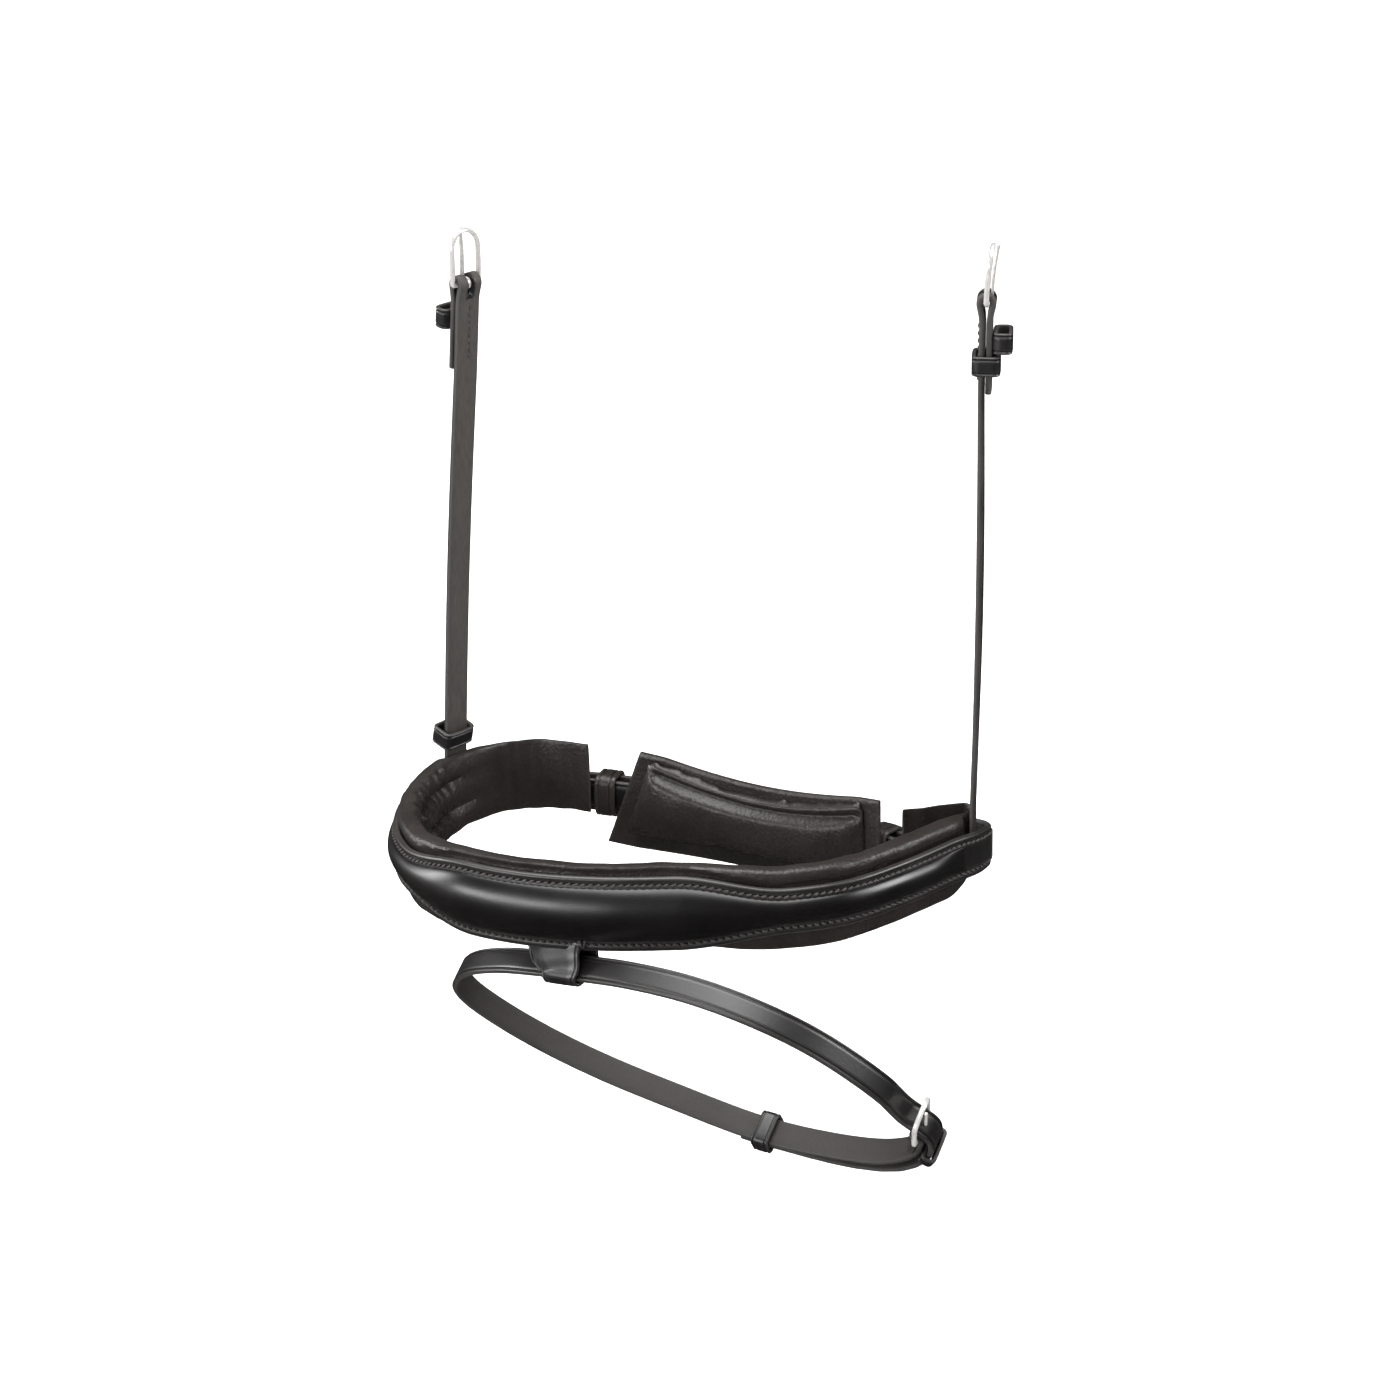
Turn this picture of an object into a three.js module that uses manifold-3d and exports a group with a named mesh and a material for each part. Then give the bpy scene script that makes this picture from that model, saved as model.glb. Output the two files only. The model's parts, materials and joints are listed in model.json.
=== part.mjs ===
// Padded crank noseband of a bridle, with a flash strap and two cheek hangers.
// Millimetres, +Z up. The nosepiece lies in the XY plane, its front faces -Y, and the
// jaw side is at +Y. Pieces are drawn from the middle of the nosepiece's outer face, and
// the whole is moved at the end so that the origin is on the lining's face behind the nose.
import * as THREE from "three";
import { mergeVertices } from "three/addons/utils/BufferGeometryUtils.js";
import Module from "manifold-3d";

const wasm = await Module();
wasm.setup();

// ---- Driving dimensions ----
const GAP = 0.35; // clearance between pieces that are sewn or lie together
const STRAP = 2.6; // thickness of the cheek straps
const THIN_STRAP = 2.4; // thickness of the flash and chin straps
const LOOP_T = 1.7; // thickness of keepers and runners
const KEEPER_WIDTH = 8; // along the strap
const WIRE = 2.2; // thickness of the metal fittings

const NOSE_STATIONS = 60; // equal steps along the nosepiece
const MIDDLE = 30.5; // station of the widest part
const NOSE_STRAP_T = 3.0;
const NOSE_HALF_HEIGHT = 16.5; // outer strap at the nose bridge
const NOSE_SIDE_HALF_HEIGHT = 10.0; // outer strap along the cheeks
const PAD_DEPTH = 10.5;
const PAD_TOP = 19.5;
const PAD_BOTTOM = 17.5;
const PAD_SIDE_TOP = 17;
const PAD_SIDE_BOTTOM = 19.5;
const PANEL_BULGE = 4.4;
const FLAP_T = 2.0;
const FLAP_HALF_HEIGHT = 14.5;
const END_DROP = 5; // the narrow ends sit this much below the middle
const CHIN_DROP = 12; // and the chin strap this much
const RING_DROP = 8.5;

const CHEEK_WIDTH = 12;
const CHEEK_LENGTH = 218.5; // seam to buckle bar
const CHEEK_RETURN = 37; // folded end sewn down below the buckle
const CHEEK_BASE_Z = 19;
const TAB_SEWN = 28; // sewn end of the hanger, down from its hinge
const TAB_BELOW_HINGE = 1.6; // leaves the strap room to swing
const BUCKLE_WIDTH = 16.2;
const BUCKLE_LENGTH = 23.5; // bar to the rounded end

const CHIN_WIDTH = 15;
const CHIN_CENTRE = new THREE.Vector2(-17.8, -262.1); // of the arc that the jaw side follows
const CHIN_RADIUS = 413;
const CHIN_LEFT = 96.98; // direction of each end ring's bar from that centre, degrees
const CHIN_RIGHT = 72.85;
const CHIN_BUCKLE = 83.0;
const CHIN_SPREAD = 3.7; // each layer of the chin strap from the line of the bars
const RING_REACH = 10; // between the two bars of an end ring

const JAW_LEFT = 91.9; // top corners of the jaw pad
const JAW_RIGHT = 74.7;
const JAW_LEAN = 18; // the lower left corner reaches this much further
const JAW_TOP = 15;
const JAW_DIP = 8; // the top edge sags this much between its corners
const JAW_BOTTOM = -33;
const JAW_SHELL_T = 3;
const JAW_CUSHION_T = 8;

const FLASH_WIDTH = 12;
const FLASH_KNOT = new THREE.Vector3(-3.5, 5.2, -27.4); // under the nosepiece
const FLASH_NORMAL = new THREE.Vector3(0.086, 0.785, 0.613).normalize();
const FLASH_SIDE_TILT = 8; // degrees that the strap's plane leans to one side
const FLASH_KEEPER_DEPTH = 17;
const FLASH_KEEPER_SHARE = 0.615; // of the way round from the buckle, and then this much further
const FLASH_KEEPER_PAST = 15.5;
const SMALL_BUCKLE_LENGTH = 20; // flash and chin buckles

const DEG = Math.PI / 180;
const finish = (color, roughness, metalness) =>
  new THREE.MeshStandardMaterial({ color, roughness, metalness });
const leather = (color, roughness) => finish(color, roughness, 0);
const SMOOTH_LEATHER = leather(0x1b191a, 0.32);
const STRAP_LEATHER = leather(0x211f20, 0.45);
const SOFT_LEATHER = leather(0x2a2725, 0.7);
const NICKEL = finish(0xd9d6cf, 0.18, 1);

const object = new THREE.Group();

function add(parent, name, geometry, material) {
  const mesh = new THREE.Mesh(geometry, material);
  mesh.name = name;
  parent.add(mesh);
  return mesh;
}

// ---- Solids and booleans ----
function solidOf(geometry) {
  const bare = geometry.index ? geometry.toNonIndexed() : geometry.clone();
  bare.deleteAttribute("normal");
  bare.deleteAttribute("uv");
  const merged = mergeVertices(bare, 1e-3);
  return new wasm.Manifold(
    new wasm.Mesh({
      numProp: 3,
      vertProperties: merged.attributes.position.array,
      triVerts: new Uint32Array(merged.index.array),
    }),
  );
}

function geometryOf(solid) {
  const mesh = solid.getMesh();
  const geometry = new THREE.BufferGeometry();
  geometry.setAttribute("position", new THREE.BufferAttribute(mesh.vertProperties, 3));
  geometry.setIndex(new THREE.BufferAttribute(mesh.triVerts, 1));
  geometry.computeVertexNormals();
  return geometry;
}

const cut = (geometry, ...tools) =>
  geometryOf(tools.reduce((left, tool) => left.subtract(solidOf(tool)), solidOf(geometry)));

// ---- Flat paths, as lists of Vector2 ----
const point = ([x, y]) => new THREE.Vector2(x, y);

function smoothCurve(controls, closed) {
  const points = controls.map(([x, y]) => new THREE.Vector3(x, y, 0));
  return new THREE.CatmullRomCurve3(points, closed, "centripetal");
}

function smooth(controls, count) {
  return smoothCurve(controls, false)
    .getSpacedPoints(count)
    .map((p) => new THREE.Vector2(p.x, p.y));
}

function arc(centre, radius, fromDeg, toDeg, steps) {
  return Array.from({ length: steps + 1 }, (_, i) => {
    const a = (fromDeg + ((toDeg - fromDeg) * i) / steps) * DEG;
    return new THREE.Vector2(centre.x + radius * Math.cos(a), centre.y + radius * Math.sin(a));
  });
}

// Heading and mitred outward normal (to the right of the heading) at each vertex of a path.
function framesOf(path) {
  const headings = path.slice(1).map((p, i) => p.clone().sub(path[i]).normalize());
  return path.map((p, i) => {
    const before = headings[Math.max(i - 1, 0)];
    const after = headings[Math.min(i, headings.length - 1)];
    const heading = before.clone().add(after).normalize();
    const mitre = 1 / Math.max(heading.dot(after), 0.3);
    return { at: p, heading, out: new THREE.Vector2(heading.y, -heading.x), mitre };
  });
}

// A ribbon: a section (x outward from the path, y across the ribbon) carried along a flat path.
// fit(i, x, y) may return another [x, y], and a shift along the path, for the section at vertex i.
function ribbon(section, path, fit = (i, x, y) => [x, y]) {
  const frames = framesOf(path);
  const steps = path.length - 1;
  const options = { depth: steps, steps, bevelEnabled: false, curveSegments: 3 };
  const geometry = new THREE.ExtrudeGeometry(section, options);
  const position = geometry.getAttribute("position");
  for (let v = 0; v < position.count; v++) {
    const i = steps - Math.round(position.getZ(v));
    const { at, out, heading, mitre } = frames[i];
    const [x, y, shift = 0] = fit(i, position.getX(v), position.getY(v));
    const p = at.clone().addScaledVector(out, x * mitre).addScaledVector(heading, shift);
    position.setXYZ(v, p.x, p.y, y);
  }
  return geometry;
}

// Strap section with broken edges, from inner to outer offset and low to high.
function strapSection(inner, outer, low, high, chamfer = 0.6) {
  return new THREE.Shape(
    [
      [inner + chamfer, low],
      [outer - chamfer, low],
      [outer, low + chamfer],
      [outer, high - chamfer],
      [outer - chamfer, high],
      [inner + chamfer, high],
      [inner, high - chamfer],
      [inner, low + chamfer],
    ].map(point),
  );
}

// Rectangle with round corners, as a Path that can be an outline or a hole.
function roundRect(Kind, x0, y0, x1, y1, r) {
  const shape = new Kind();
  shape.moveTo(x0 + r, y0);
  shape.lineTo(x1 - r, y0);
  shape.absarc(x1 - r, y0 + r, r, -Math.PI / 2, 0, false);
  shape.lineTo(x1, y1 - r);
  shape.absarc(x1 - r, y1 - r, r, 0, Math.PI / 2, false);
  shape.lineTo(x0 + r, y1);
  shape.absarc(x0 + r, y1 - r, r, Math.PI / 2, Math.PI, false);
  shape.lineTo(x0, y0 + r);
  shape.absarc(x0 + r, y0 + r, r, Math.PI, 1.5 * Math.PI, false);
  return shape;
}

function extrude(shape, depth, curveSegments = 3) {
  const geometry = new THREE.ExtrudeGeometry(shape, { depth, bevelEnabled: false, curveSegments });
  return geometry.translate(0, 0, -depth / 2);
}

// Closed loop of thin leather or metal: a rounded rectangle with a hole, depth deep about z = 0.
function loop(x0, y0, x1, y1, wall, depth, r = 2) {
  const outline = roundRect(THREE.Shape, x0 - wall, y0 - wall, x1 + wall, y1 + wall, r + wall / 2);
  outline.holes.push(roundRect(THREE.Path, x0, y0, x1, y1, r));
  return extrude(outline, depth);
}

function box(x0, y0, z0, x1, y1, z1) {
  const geometry = new THREE.BoxGeometry(x1 - x0, y1 - y0, z1 - z0);
  return geometry.translate((x0 + x1) / 2, (y0 + y1) / 2, (z0 + z1) / 2);
}

// A group whose local X, Y and Z axes are the given directions.
function placed(parent, origin, x, y) {
  const z = new THREE.Vector3().crossVectors(x, y).normalize();
  const group = new THREE.Group();
  group.quaternion.setFromRotationMatrix(new THREE.Matrix4().makeBasis(x, y, z));
  group.position.copy(origin);
  parent.add(group);
  return group;
}

// ---- Buckles: local X out of the strap, Y from the bar to the far end, Z across ----
function buckleFrame(halfWidth, length, roundness, wire = WIRE) {
  const draw = (shape, half, low, high) => {
    const r = half * roundness;
    shape.moveTo(low, -half);
    shape.lineTo(high - r, -half);
    shape.absellipse(high - r, 0, r, half, -Math.PI / 2, Math.PI / 2, false);
    shape.lineTo(low, half);
    shape.closePath();
    return shape;
  };
  const outline = draw(new THREE.Shape(), halfWidth, -wire / 2, length);
  outline.holes.push(draw(new THREE.Path(), halfWidth - wire * 0.8, wire / 2, length - wire * 0.9));
  // Drawn along its own x and y, then stood so that the wire's thickness lies along local X.
  const axes = [new THREE.Vector3(0, 1, 0), new THREE.Vector3(0, 0, 1), new THREE.Vector3(1, 0, 0)];
  return extrude(outline, wire, 6).applyMatrix4(new THREE.Matrix4().makeBasis(...axes));
}

// Eye round the bar and a straight shank that rests on the frame's far end.
function buckleTongue(length, rest) {
  const eye = 2.9;
  const bore = 1.85;
  const outline = new THREE.Shape();
  outline.moveTo(rest, 2.2);
  outline.lineTo(rest, length);
  outline.lineTo(rest + 1.4, length);
  outline.lineTo(rest + 1.4, 0.5);
  outline.absarc(0, 0, eye, 0.1, 1.6 - 2 * Math.PI, true);
  outline.closePath();
  const hole = new THREE.Path();
  hole.absarc(0, 0, bore, 0, 2 * Math.PI, false);
  outline.holes.push(hole);
  return extrude(outline, 2.2, 6);
}

function addBuckle(parent, prefix, halfWidth, length, roundness) {
  add(parent, `${prefix}_buckle_frame`, buckleFrame(halfWidth, length, roundness), NICKEL);
  add(parent, `${prefix}_buckle_tongue`, buckleTongue(length + 0.6, WIRE / 2 + GAP), NICKEL);
}

// ---- Nosepiece ----
const NOSE_LINE = [
  [-58, 151],
  [-80, 149],
  [-100, 137],
  [-110.5, 114],
  [-113.5, 86],
  [-108.5, 56],
  [-95, 29],
  [-76, 11],
  [-49, -0.5],
  [-18, -2.5],
  [14, 4],
  [48, 18],
  [80, 32],
  [104, 51],
  [119, 77],
  [130, 104],
  [137, 125],
  [135, 140],
  [124, 146],
  [111, 138],
  [97, 127],
];
const noseLine = smooth(NOSE_LINE, NOSE_STATIONS);
const noseFrames = framesOf(noseLine);
const ease = THREE.MathUtils.smoothstep;
const mix = THREE.MathUtils.lerp;
const sideShare = (i) => ease(Math.abs(i - MIDDLE), 5, 10.5); // 0 at the bridge, 1 along the cheeks
const endShare = (i) => ease(Math.abs(i - MIDDLE), 20, 27);
const NOSE_STRAP_SPAN = [3, 57];
const PAD_SPAN = [6, 53];
const PANEL_SPAN = [8, 51];

// A layer of the nosepiece between two stations; fit gets the station itself.
function noseLayer(section, [from, to], fit) {
  return ribbon(section, noseLine.slice(from, to + 1), (k, x, y) => fit(k + from, x, y));
}

const onStrap = (trim) => (i, x, y) => {
  const half = mix(NOSE_HALF_HEIGHT, NOSE_SIDE_HALF_HEIGHT, sideShare(i)) * (1 - 0.12 * endShare(i));
  return [x, y * (half - trim) - END_DROP * endShare(i)];
};

function onPad(i, x, y) {
  const top = mix(PAD_TOP, PAD_SIDE_TOP, sideShare(i));
  const bottom = mix(PAD_BOTTOM, PAD_SIDE_BOTTOM, sideShare(i));
  return [x, y * (y > 0 ? top : bottom) * (1 - 0.08 * endShare(i))];
}

// Convex panel sewn on the outer strap: flat back and round front.
function raisedPanel() {
  const rows = [-1, -0.8, -0.4, 0, 0.4, 0.8, 1];
  const front = rows.map((y) => [GAP + 0.5 + PANEL_BULGE * (1 - y * y), y]);
  const section = new THREE.Shape([[GAP, -1], ...front, [GAP, 1]].map(point));
  const fit = onStrap(5);
  return noseLayer(section, PANEL_SPAN, (i, x, y) => {
    const bulge = mix(1, 0.5, sideShare(i));
    return fit(i, GAP + (x - GAP) * bulge, y);
  });
}

const PAD_FACE = -NOSE_STRAP_T - GAP;
const PAD_BACK = PAD_FACE - PAD_DEPTH;

function nosePad(recesses) {
  const side = [
    [PAD_FACE, 0.86],
    [PAD_FACE - 2, 0.98],
    [PAD_FACE - 5, 1],
    [PAD_BACK + 2, 0.95],
    [PAD_BACK, 0.75],
  ];
  const mirrored = side.map(([x, y]) => [x, -y]).reverse();
  const pad = noseLayer(new THREE.Shape([...side, ...mirrored].map(point)), PAD_SPAN, onPad);
  return cut(pad, ...recesses);
}

// Flat end of the lining, hanging this far inside the outer face.
function endFlap(span, inside) {
  const section = strapSection(-inside - FLAP_T, -inside, -FLAP_HALF_HEIGHT, FLAP_HALF_HEIGHT, 0.4);
  return noseLayer(section, span, (i, x, y) => [x, y]);
}

// Rectangular ring between two upright bars.
function endRing(parent, name, from, to) {
  const along = to.clone().sub(from);
  const reach = along.length() / 2;
  const x = new THREE.Vector3(along.x, along.y, 0).normalize();
  const middle = from.clone().add(to).multiplyScalar(0.5);
  const half = CHIN_WIDTH / 2 + 4.1;
  const ring = loop(-reach + WIRE / 2, -half, reach - WIRE / 2, half, WIRE, WIRE, 1);
  const centre = new THREE.Vector3(middle.x, middle.y, -RING_DROP);
  add(placed(parent, centre, x, new THREE.Vector3(0, 0, 1)), name, ring, NICKEL);
}

// Folded strip round an end ring's bar, sewn on both faces of the nosepiece strap.
function ringChape(parent, name, bar, stations) {
  const reach = NOSE_STRAP_T / 2 + GAP + LOOP_T / 2;
  const inner = stations.map((i) => onNose(i, -NOSE_STRAP_T / 2 - reach));
  const outer = stations.map((i) => onNose(i, -NOSE_STRAP_T / 2 + reach)).reverse();
  const end = inner[inner.length - 1];
  const inward = end.clone().sub(outer[0]);
  const away = bar.clone().sub(end.clone().add(outer[0]).multiplyScalar(0.5));
  const from = inward.angle() / DEG;
  const sweep = inward.cross(away) > 0 ? 180 : -180;
  const path = [...inner, ...arc(bar, reach, from, from + sweep, 8), ...outer];
  const half = CHIN_WIDTH / 2 - 0.6;
  const chape = ribbon(strapSection(-LOOP_T / 2, LOOP_T / 2, -half, half, 0.3), path);
  add(parent, name, chape.translate(0, 0, -END_DROP), STRAP_LEATHER);
}

// Point at a station of the nosepiece, or between two, and an offset from its outer face.
function onNose(i, offset) {
  const low = noseFrames[Math.floor(i)];
  const high = noseFrames[Math.ceil(i)];
  const share = i - Math.floor(i);
  const out = low.out.clone().lerp(high.out, share).normalize();
  return low.at.clone().lerp(high.at, share).addScaledVector(out, offset);
}

// ---- Cheek hangers: local X out, Y up the strap, Z across it ----
function cheekHanger(side, station, inside, lean, turnDeg, runnerY, runnerTilt) {
  const seat = onNose(station, -inside);
  const up = new THREE.Vector3(lean.x, lean.y, CHEEK_LENGTH).normalize();
  const flat = new THREE.Vector3(Math.cos(turnDeg * DEG), Math.sin(turnDeg * DEG), 0);
  const out = flat.clone().addScaledVector(up, -flat.dot(up)).normalize();
  const origin = new THREE.Vector3(seat.x, seat.y, CHEEK_BASE_Z);
  const frame = placed(object, origin, out, up);
  const half = CHEEK_WIDTH / 2;
  const layer = STRAP + GAP; // from one leg of the fold to the other
  const fold = 3.0;
  const turnStart = 12; // the leather leaves the straight this far below the bar
  const spread = Math.asin(layer / 2 / fold) / DEG;
  const top = CHEEK_LENGTH;
  const bar = new THREE.Vector2(layer / 2, top);

  // Up the strap, round the bar and back down the folded end.
  const path = [
    ...[0, 0.2, 0.4, 0.6, 0.8, 1].map((share) => new THREE.Vector2(0, GAP + (top - turnStart) * share)),
    ...arc(bar, fold, 180 + spread, -spread, 12),
    new THREE.Vector2(layer, top - turnStart),
    new THREE.Vector2(layer, top - CHEEK_RETURN),
  ];
  const strap = ribbon(strapSection(-STRAP / 2, STRAP / 2, -half, half), path);
  const slotHalf = 1.7;
  const slot = box(bar.x - 6, top - 5, -slotHalf, bar.x + 6, top + 6, slotHalf);
  add(frame, `${side}_cheek_strap`, cut(strap, slot), STRAP_LEATHER);

  const stand = layer + STRAP / 2 + GAP; // the fixed keeper stands on the folded end
  const keeper = loop(stand + LOOP_T, -half - 0.6, stand + LOOP_T + 4.2, half + 0.6, LOOP_T, KEEPER_WIDTH);
  add(frame, `${side}_fixed_keeper`, keeper.rotateX(Math.PI / 2).translate(0, top - 16, 0), STRAP_LEATHER);

  const runner = loop(-2.2, -half - 0.8, 5.8, half + 0.8, LOOP_T, KEEPER_WIDTH);
  runner.rotateX(Math.PI / 2).rotateZ(runnerTilt * DEG).translate(0, runnerY, 0);
  add(frame, `${side}_runner`, runner, STRAP_LEATHER);

  const buckle = new THREE.Group();
  buckle.position.set(bar.x, bar.y, 0);
  frame.add(buckle);
  addBuckle(buckle, side, BUCKLE_WIDTH / 2, BUCKLE_LENGTH, 0.8);

  // Sewn end of the hanger, between the outer strap and the pad.
  const outer = onNose(station, 0).sub(seat).normalize();
  const tab = placed(noseband, origin, new THREE.Vector3(outer.x, outer.y, 0), new THREE.Vector3(0, 0, 1));
  const sewn = box(-STRAP / 2, -TAB_SEWN, -half, STRAP / 2, -TAB_BELOW_HINGE, half);
  add(tab, `${side}_cheek_tab`, sewn, STRAP_LEATHER);
  tab.updateWorldMatrix(true, false);
  const wall = STRAP / 2 + GAP;
  const recess = box(-wall, -TAB_SEWN - 1, -half - GAP, STRAP / 2 + 4, 2, half + GAP);
  return recess.applyMatrix4(tab.matrixWorld);
}

// ---- A strap that buckles on itself ----
// Both ends are drawn as [u, v]: u along the strap from the buckle's bar, v outward.
const LAYER = THIN_STRAP + 0.4;
const FOLD = 3.1;
const BAR_V = -LAYER / 2;
const FRAME_TILT = 10.2; // degrees that the frame lifts off the strap under it

function foldRoundBar() {
  const spread = Math.asin(LAYER / 2 / FOLD);
  const turn = Array.from({ length: 11 }, (_, k) => {
    const a = -spread - (k * 2 * (Math.PI - spread)) / 10;
    return [FOLD * Math.cos(a), BAR_V + FOLD * Math.sin(a)];
  });
  return [[17, -LAYER], [13, -LAYER], [8, -LAYER], ...turn, [8, 0], [13, 0]];
}

const billetThroughBuckle = [
  [-30, 0],
  [-22, -1.5],
  [-17, -1.4],
  [-4, 4.4],
  [0, 5],
  [5, 5],
  [10, 5],
  [14, 5],
  [18, 5],
  [22, 5],
];
const KEEPER_U = 14;

// Keeper standing on the strap's outer face, round the billet only.
function standingKeeper(width) {
  const low = THIN_STRAP / 2 + GAP + LOOP_T + 0.25;
  return loop(low, -width / 2 - 0.6, low + 3.1, width / 2 + 0.6, LOOP_T, 7, 1).rotateX(Math.PI / 2);
}

// Loose loop round the strap and the billet on it.
function looseRunner(width) {
  const slack = 0.9;
  const high = LAYER + THIN_STRAP / 2 + slack;
  const half = width / 2 + 0.7;
  return loop(-THIN_STRAP / 2 - slack, -half, high, half, LOOP_T, KEEPER_WIDTH).rotateX(Math.PI / 2);
}

// Adds the strap, its keepers and its buckle; map(u, v) gives a point of the flat path.
function buckledStrap(parent, prefix, width, path, map, runnerU) {
  const half = width / 2;
  const strap = ribbon(strapSection(-THIN_STRAP / 2, THIN_STRAP / 2, -half, half, 0.5), path);
  const at = (u, v = 0) => {
    const origin = map(u, v);
    const next = map(u + 0.5, v);
    const along = new THREE.Vector3(next.x - origin.x, next.y - origin.y, 0).normalize();
    const out = new THREE.Vector3(along.y, -along.x, 0);
    const group = placed(parent, new THREE.Vector3(origin.x, origin.y, 0), out, along);
    group.updateMatrix();
    return group;
  };
  const buckle = at(0, BAR_V);
  const outward = new THREE.Vector3(1, 0, 0).applyQuaternion(buckle.quaternion);
  const toFrame = new THREE.Vector3(0, -1, 0).applyQuaternion(buckle.quaternion);
  const tilt = FRAME_TILT * DEG;
  const y = toFrame.clone().multiplyScalar(Math.cos(tilt)).addScaledVector(outward, Math.sin(tilt));
  const x = outward.clone().multiplyScalar(Math.cos(tilt)).addScaledVector(toFrame, -Math.sin(tilt));
  const tilted = placed(parent, buckle.position, x, y);
  tilted.updateMatrix();
  addBuckle(tilted, prefix, half + 0.7 + WIRE * 0.8, SMALL_BUCKLE_LENGTH, 0.4);
  const slotHalf = 1.7;
  const foldSlot = box(-4.6, -4.5, -slotHalf, 3.9, 4.6, slotHalf).applyMatrix4(tilted.matrix);
  const tongueHole = box(0.5, 3.5, -slotHalf, 5.4, 19.4, slotHalf).applyMatrix4(tilted.matrix);
  add(parent, `${prefix}_strap`, cut(strap, foldSlot, tongueHole), STRAP_LEATHER);
  add(at(KEEPER_U), `${prefix}_fixed_keeper`, standingKeeper(width), STRAP_LEATHER);
  add(at(runnerU), `${prefix}_runner`, looseRunner(width), STRAP_LEATHER);
}

// ---- Chin strap and jaw pad ----
const chinPoint = (deg, radius) => {
  const a = deg * DEG;
  return new THREE.Vector2(CHIN_CENTRE.x + radius * Math.cos(a), CHIN_CENTRE.y + radius * Math.sin(a));
};
const outerLayer = CHIN_RADIUS + CHIN_SPREAD;
const chinMap = (u, v) => chinPoint(CHIN_BUCKLE + u / outerLayer / DEG, outerLayer + v);
const CHIN_RUNNER_U = 34;
const CHIN_TIP_U = 43;

function chinStrap(parent) {
  const inner = CHIN_RADIUS - CHIN_SPREAD;
  const path = [
    ...foldRoundBar().map(([u, v]) => chinMap(u, v)),
    ...arc(CHIN_CENTRE, outerLayer, CHIN_BUCKLE + 3, CHIN_LEFT - 0.8, 7),
    ...arc(chinPoint(CHIN_LEFT, CHIN_RADIUS), CHIN_SPREAD, CHIN_LEFT, CHIN_LEFT + 180, 8),
    ...arc(CHIN_CENTRE, inner, CHIN_LEFT - 0.8, CHIN_RIGHT + 0.8, 14),
    ...arc(chinPoint(CHIN_RIGHT, CHIN_RADIUS), CHIN_SPREAD, CHIN_RIGHT - 180, CHIN_RIGHT, 8),
    ...arc(CHIN_CENTRE, outerLayer, CHIN_RIGHT + 0.8, CHIN_BUCKLE - 5, 3),
    ...billetThroughBuckle.map(([u, v]) => chinMap(u, v)),
    chinMap(28, LAYER),
    chinMap(CHIN_TIP_U, LAYER),
  ];
  buckledStrap(parent, "chin", CHIN_WIDTH, path, chinMap, CHIN_RUNNER_U);
}

// Padded leaf on the inner side of the chin strap; depths are measured from its margin.
function jawLeaf(outer, thickness, inset) {
  const steps = 16;
  const radius = CHIN_RADIUS - CHIN_SPREAD - outer;
  const perDeg = radius * DEG;
  const path = arc(CHIN_CENTRE, radius, JAW_LEFT - inset / perDeg, JAW_RIGHT + inset / perDeg, steps);
  // The path runs to the right, so its outward side is the inner face of the leaf.
  const section = inset > 0 ? cushionSection(thickness) : strapSection(0, thickness, 0, 1, 0);
  return ribbon(section, path, (i, x, y) => {
    const share = i / steps;
    const corner = Math.min(1, 6 * Math.min(share, 1 - share) + 0.35) ** 0.5;
    const top = JAW_TOP - JAW_DIP * Math.sin(Math.PI * share) - inset;
    const bottom = JAW_BOTTOM + inset;
    const centre = (top + bottom) / 2;
    const z = centre + (y - 0.5) * (top - bottom) * mix(0.86, 1, corner);
    const lean = (-JAW_LEAN * (1 - share) ** 2 * (JAW_TOP - z)) / (JAW_TOP - JAW_BOTTOM);
    const swell = inset > 0 ? mix(0.45, 1, Math.min(1, 7 * Math.min(share, 1 - share))) : 1;
    return [x * swell, z, lean];
  });
}

// Flat against the shell and rounded towards the jaw; drawn with y from 0 to 1.
function cushionSection(t) {
  return new THREE.Shape(
    [
      [0, 0.03],
      [t * 0.45, 0],
      [t * 0.85, 0.1],
      [t, 0.3],
      [t, 0.7],
      [t * 0.85, 0.9],
      [t * 0.45, 1],
      [0, 0.97],
    ].map(point),
  );
}

const JAW_KEEPER_CLEAR = 0.6;
const JAW_BACK = THIN_STRAP / 2 + JAW_KEEPER_CLEAR + LOOP_T + GAP; // shell's back from the inner layer

function jawKeeper(parent, name, deg, tall) {
  const low = -2 * CHIN_SPREAD - THIN_STRAP / 2 - JAW_KEEPER_CLEAR;
  const high = THIN_STRAP / 2 + JAW_KEEPER_CLEAR;
  const half = CHIN_WIDTH / 2 + 0.6;
  const keeper = loop(low, -half, high, half, LOOP_T, tall).rotateX(Math.PI / 2);
  const at = chinPoint(deg, CHIN_RADIUS - CHIN_SPREAD);
  const inward = new THREE.Vector3(CHIN_CENTRE.x - at.x, CHIN_CENTRE.y - at.y, 0).normalize();
  const along = new THREE.Vector3(-inward.y, inward.x, 0);
  add(placed(parent, new THREE.Vector3(at.x, at.y, -CHIN_DROP), inward, along), name, keeper, SOFT_LEATHER);
}

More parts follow.
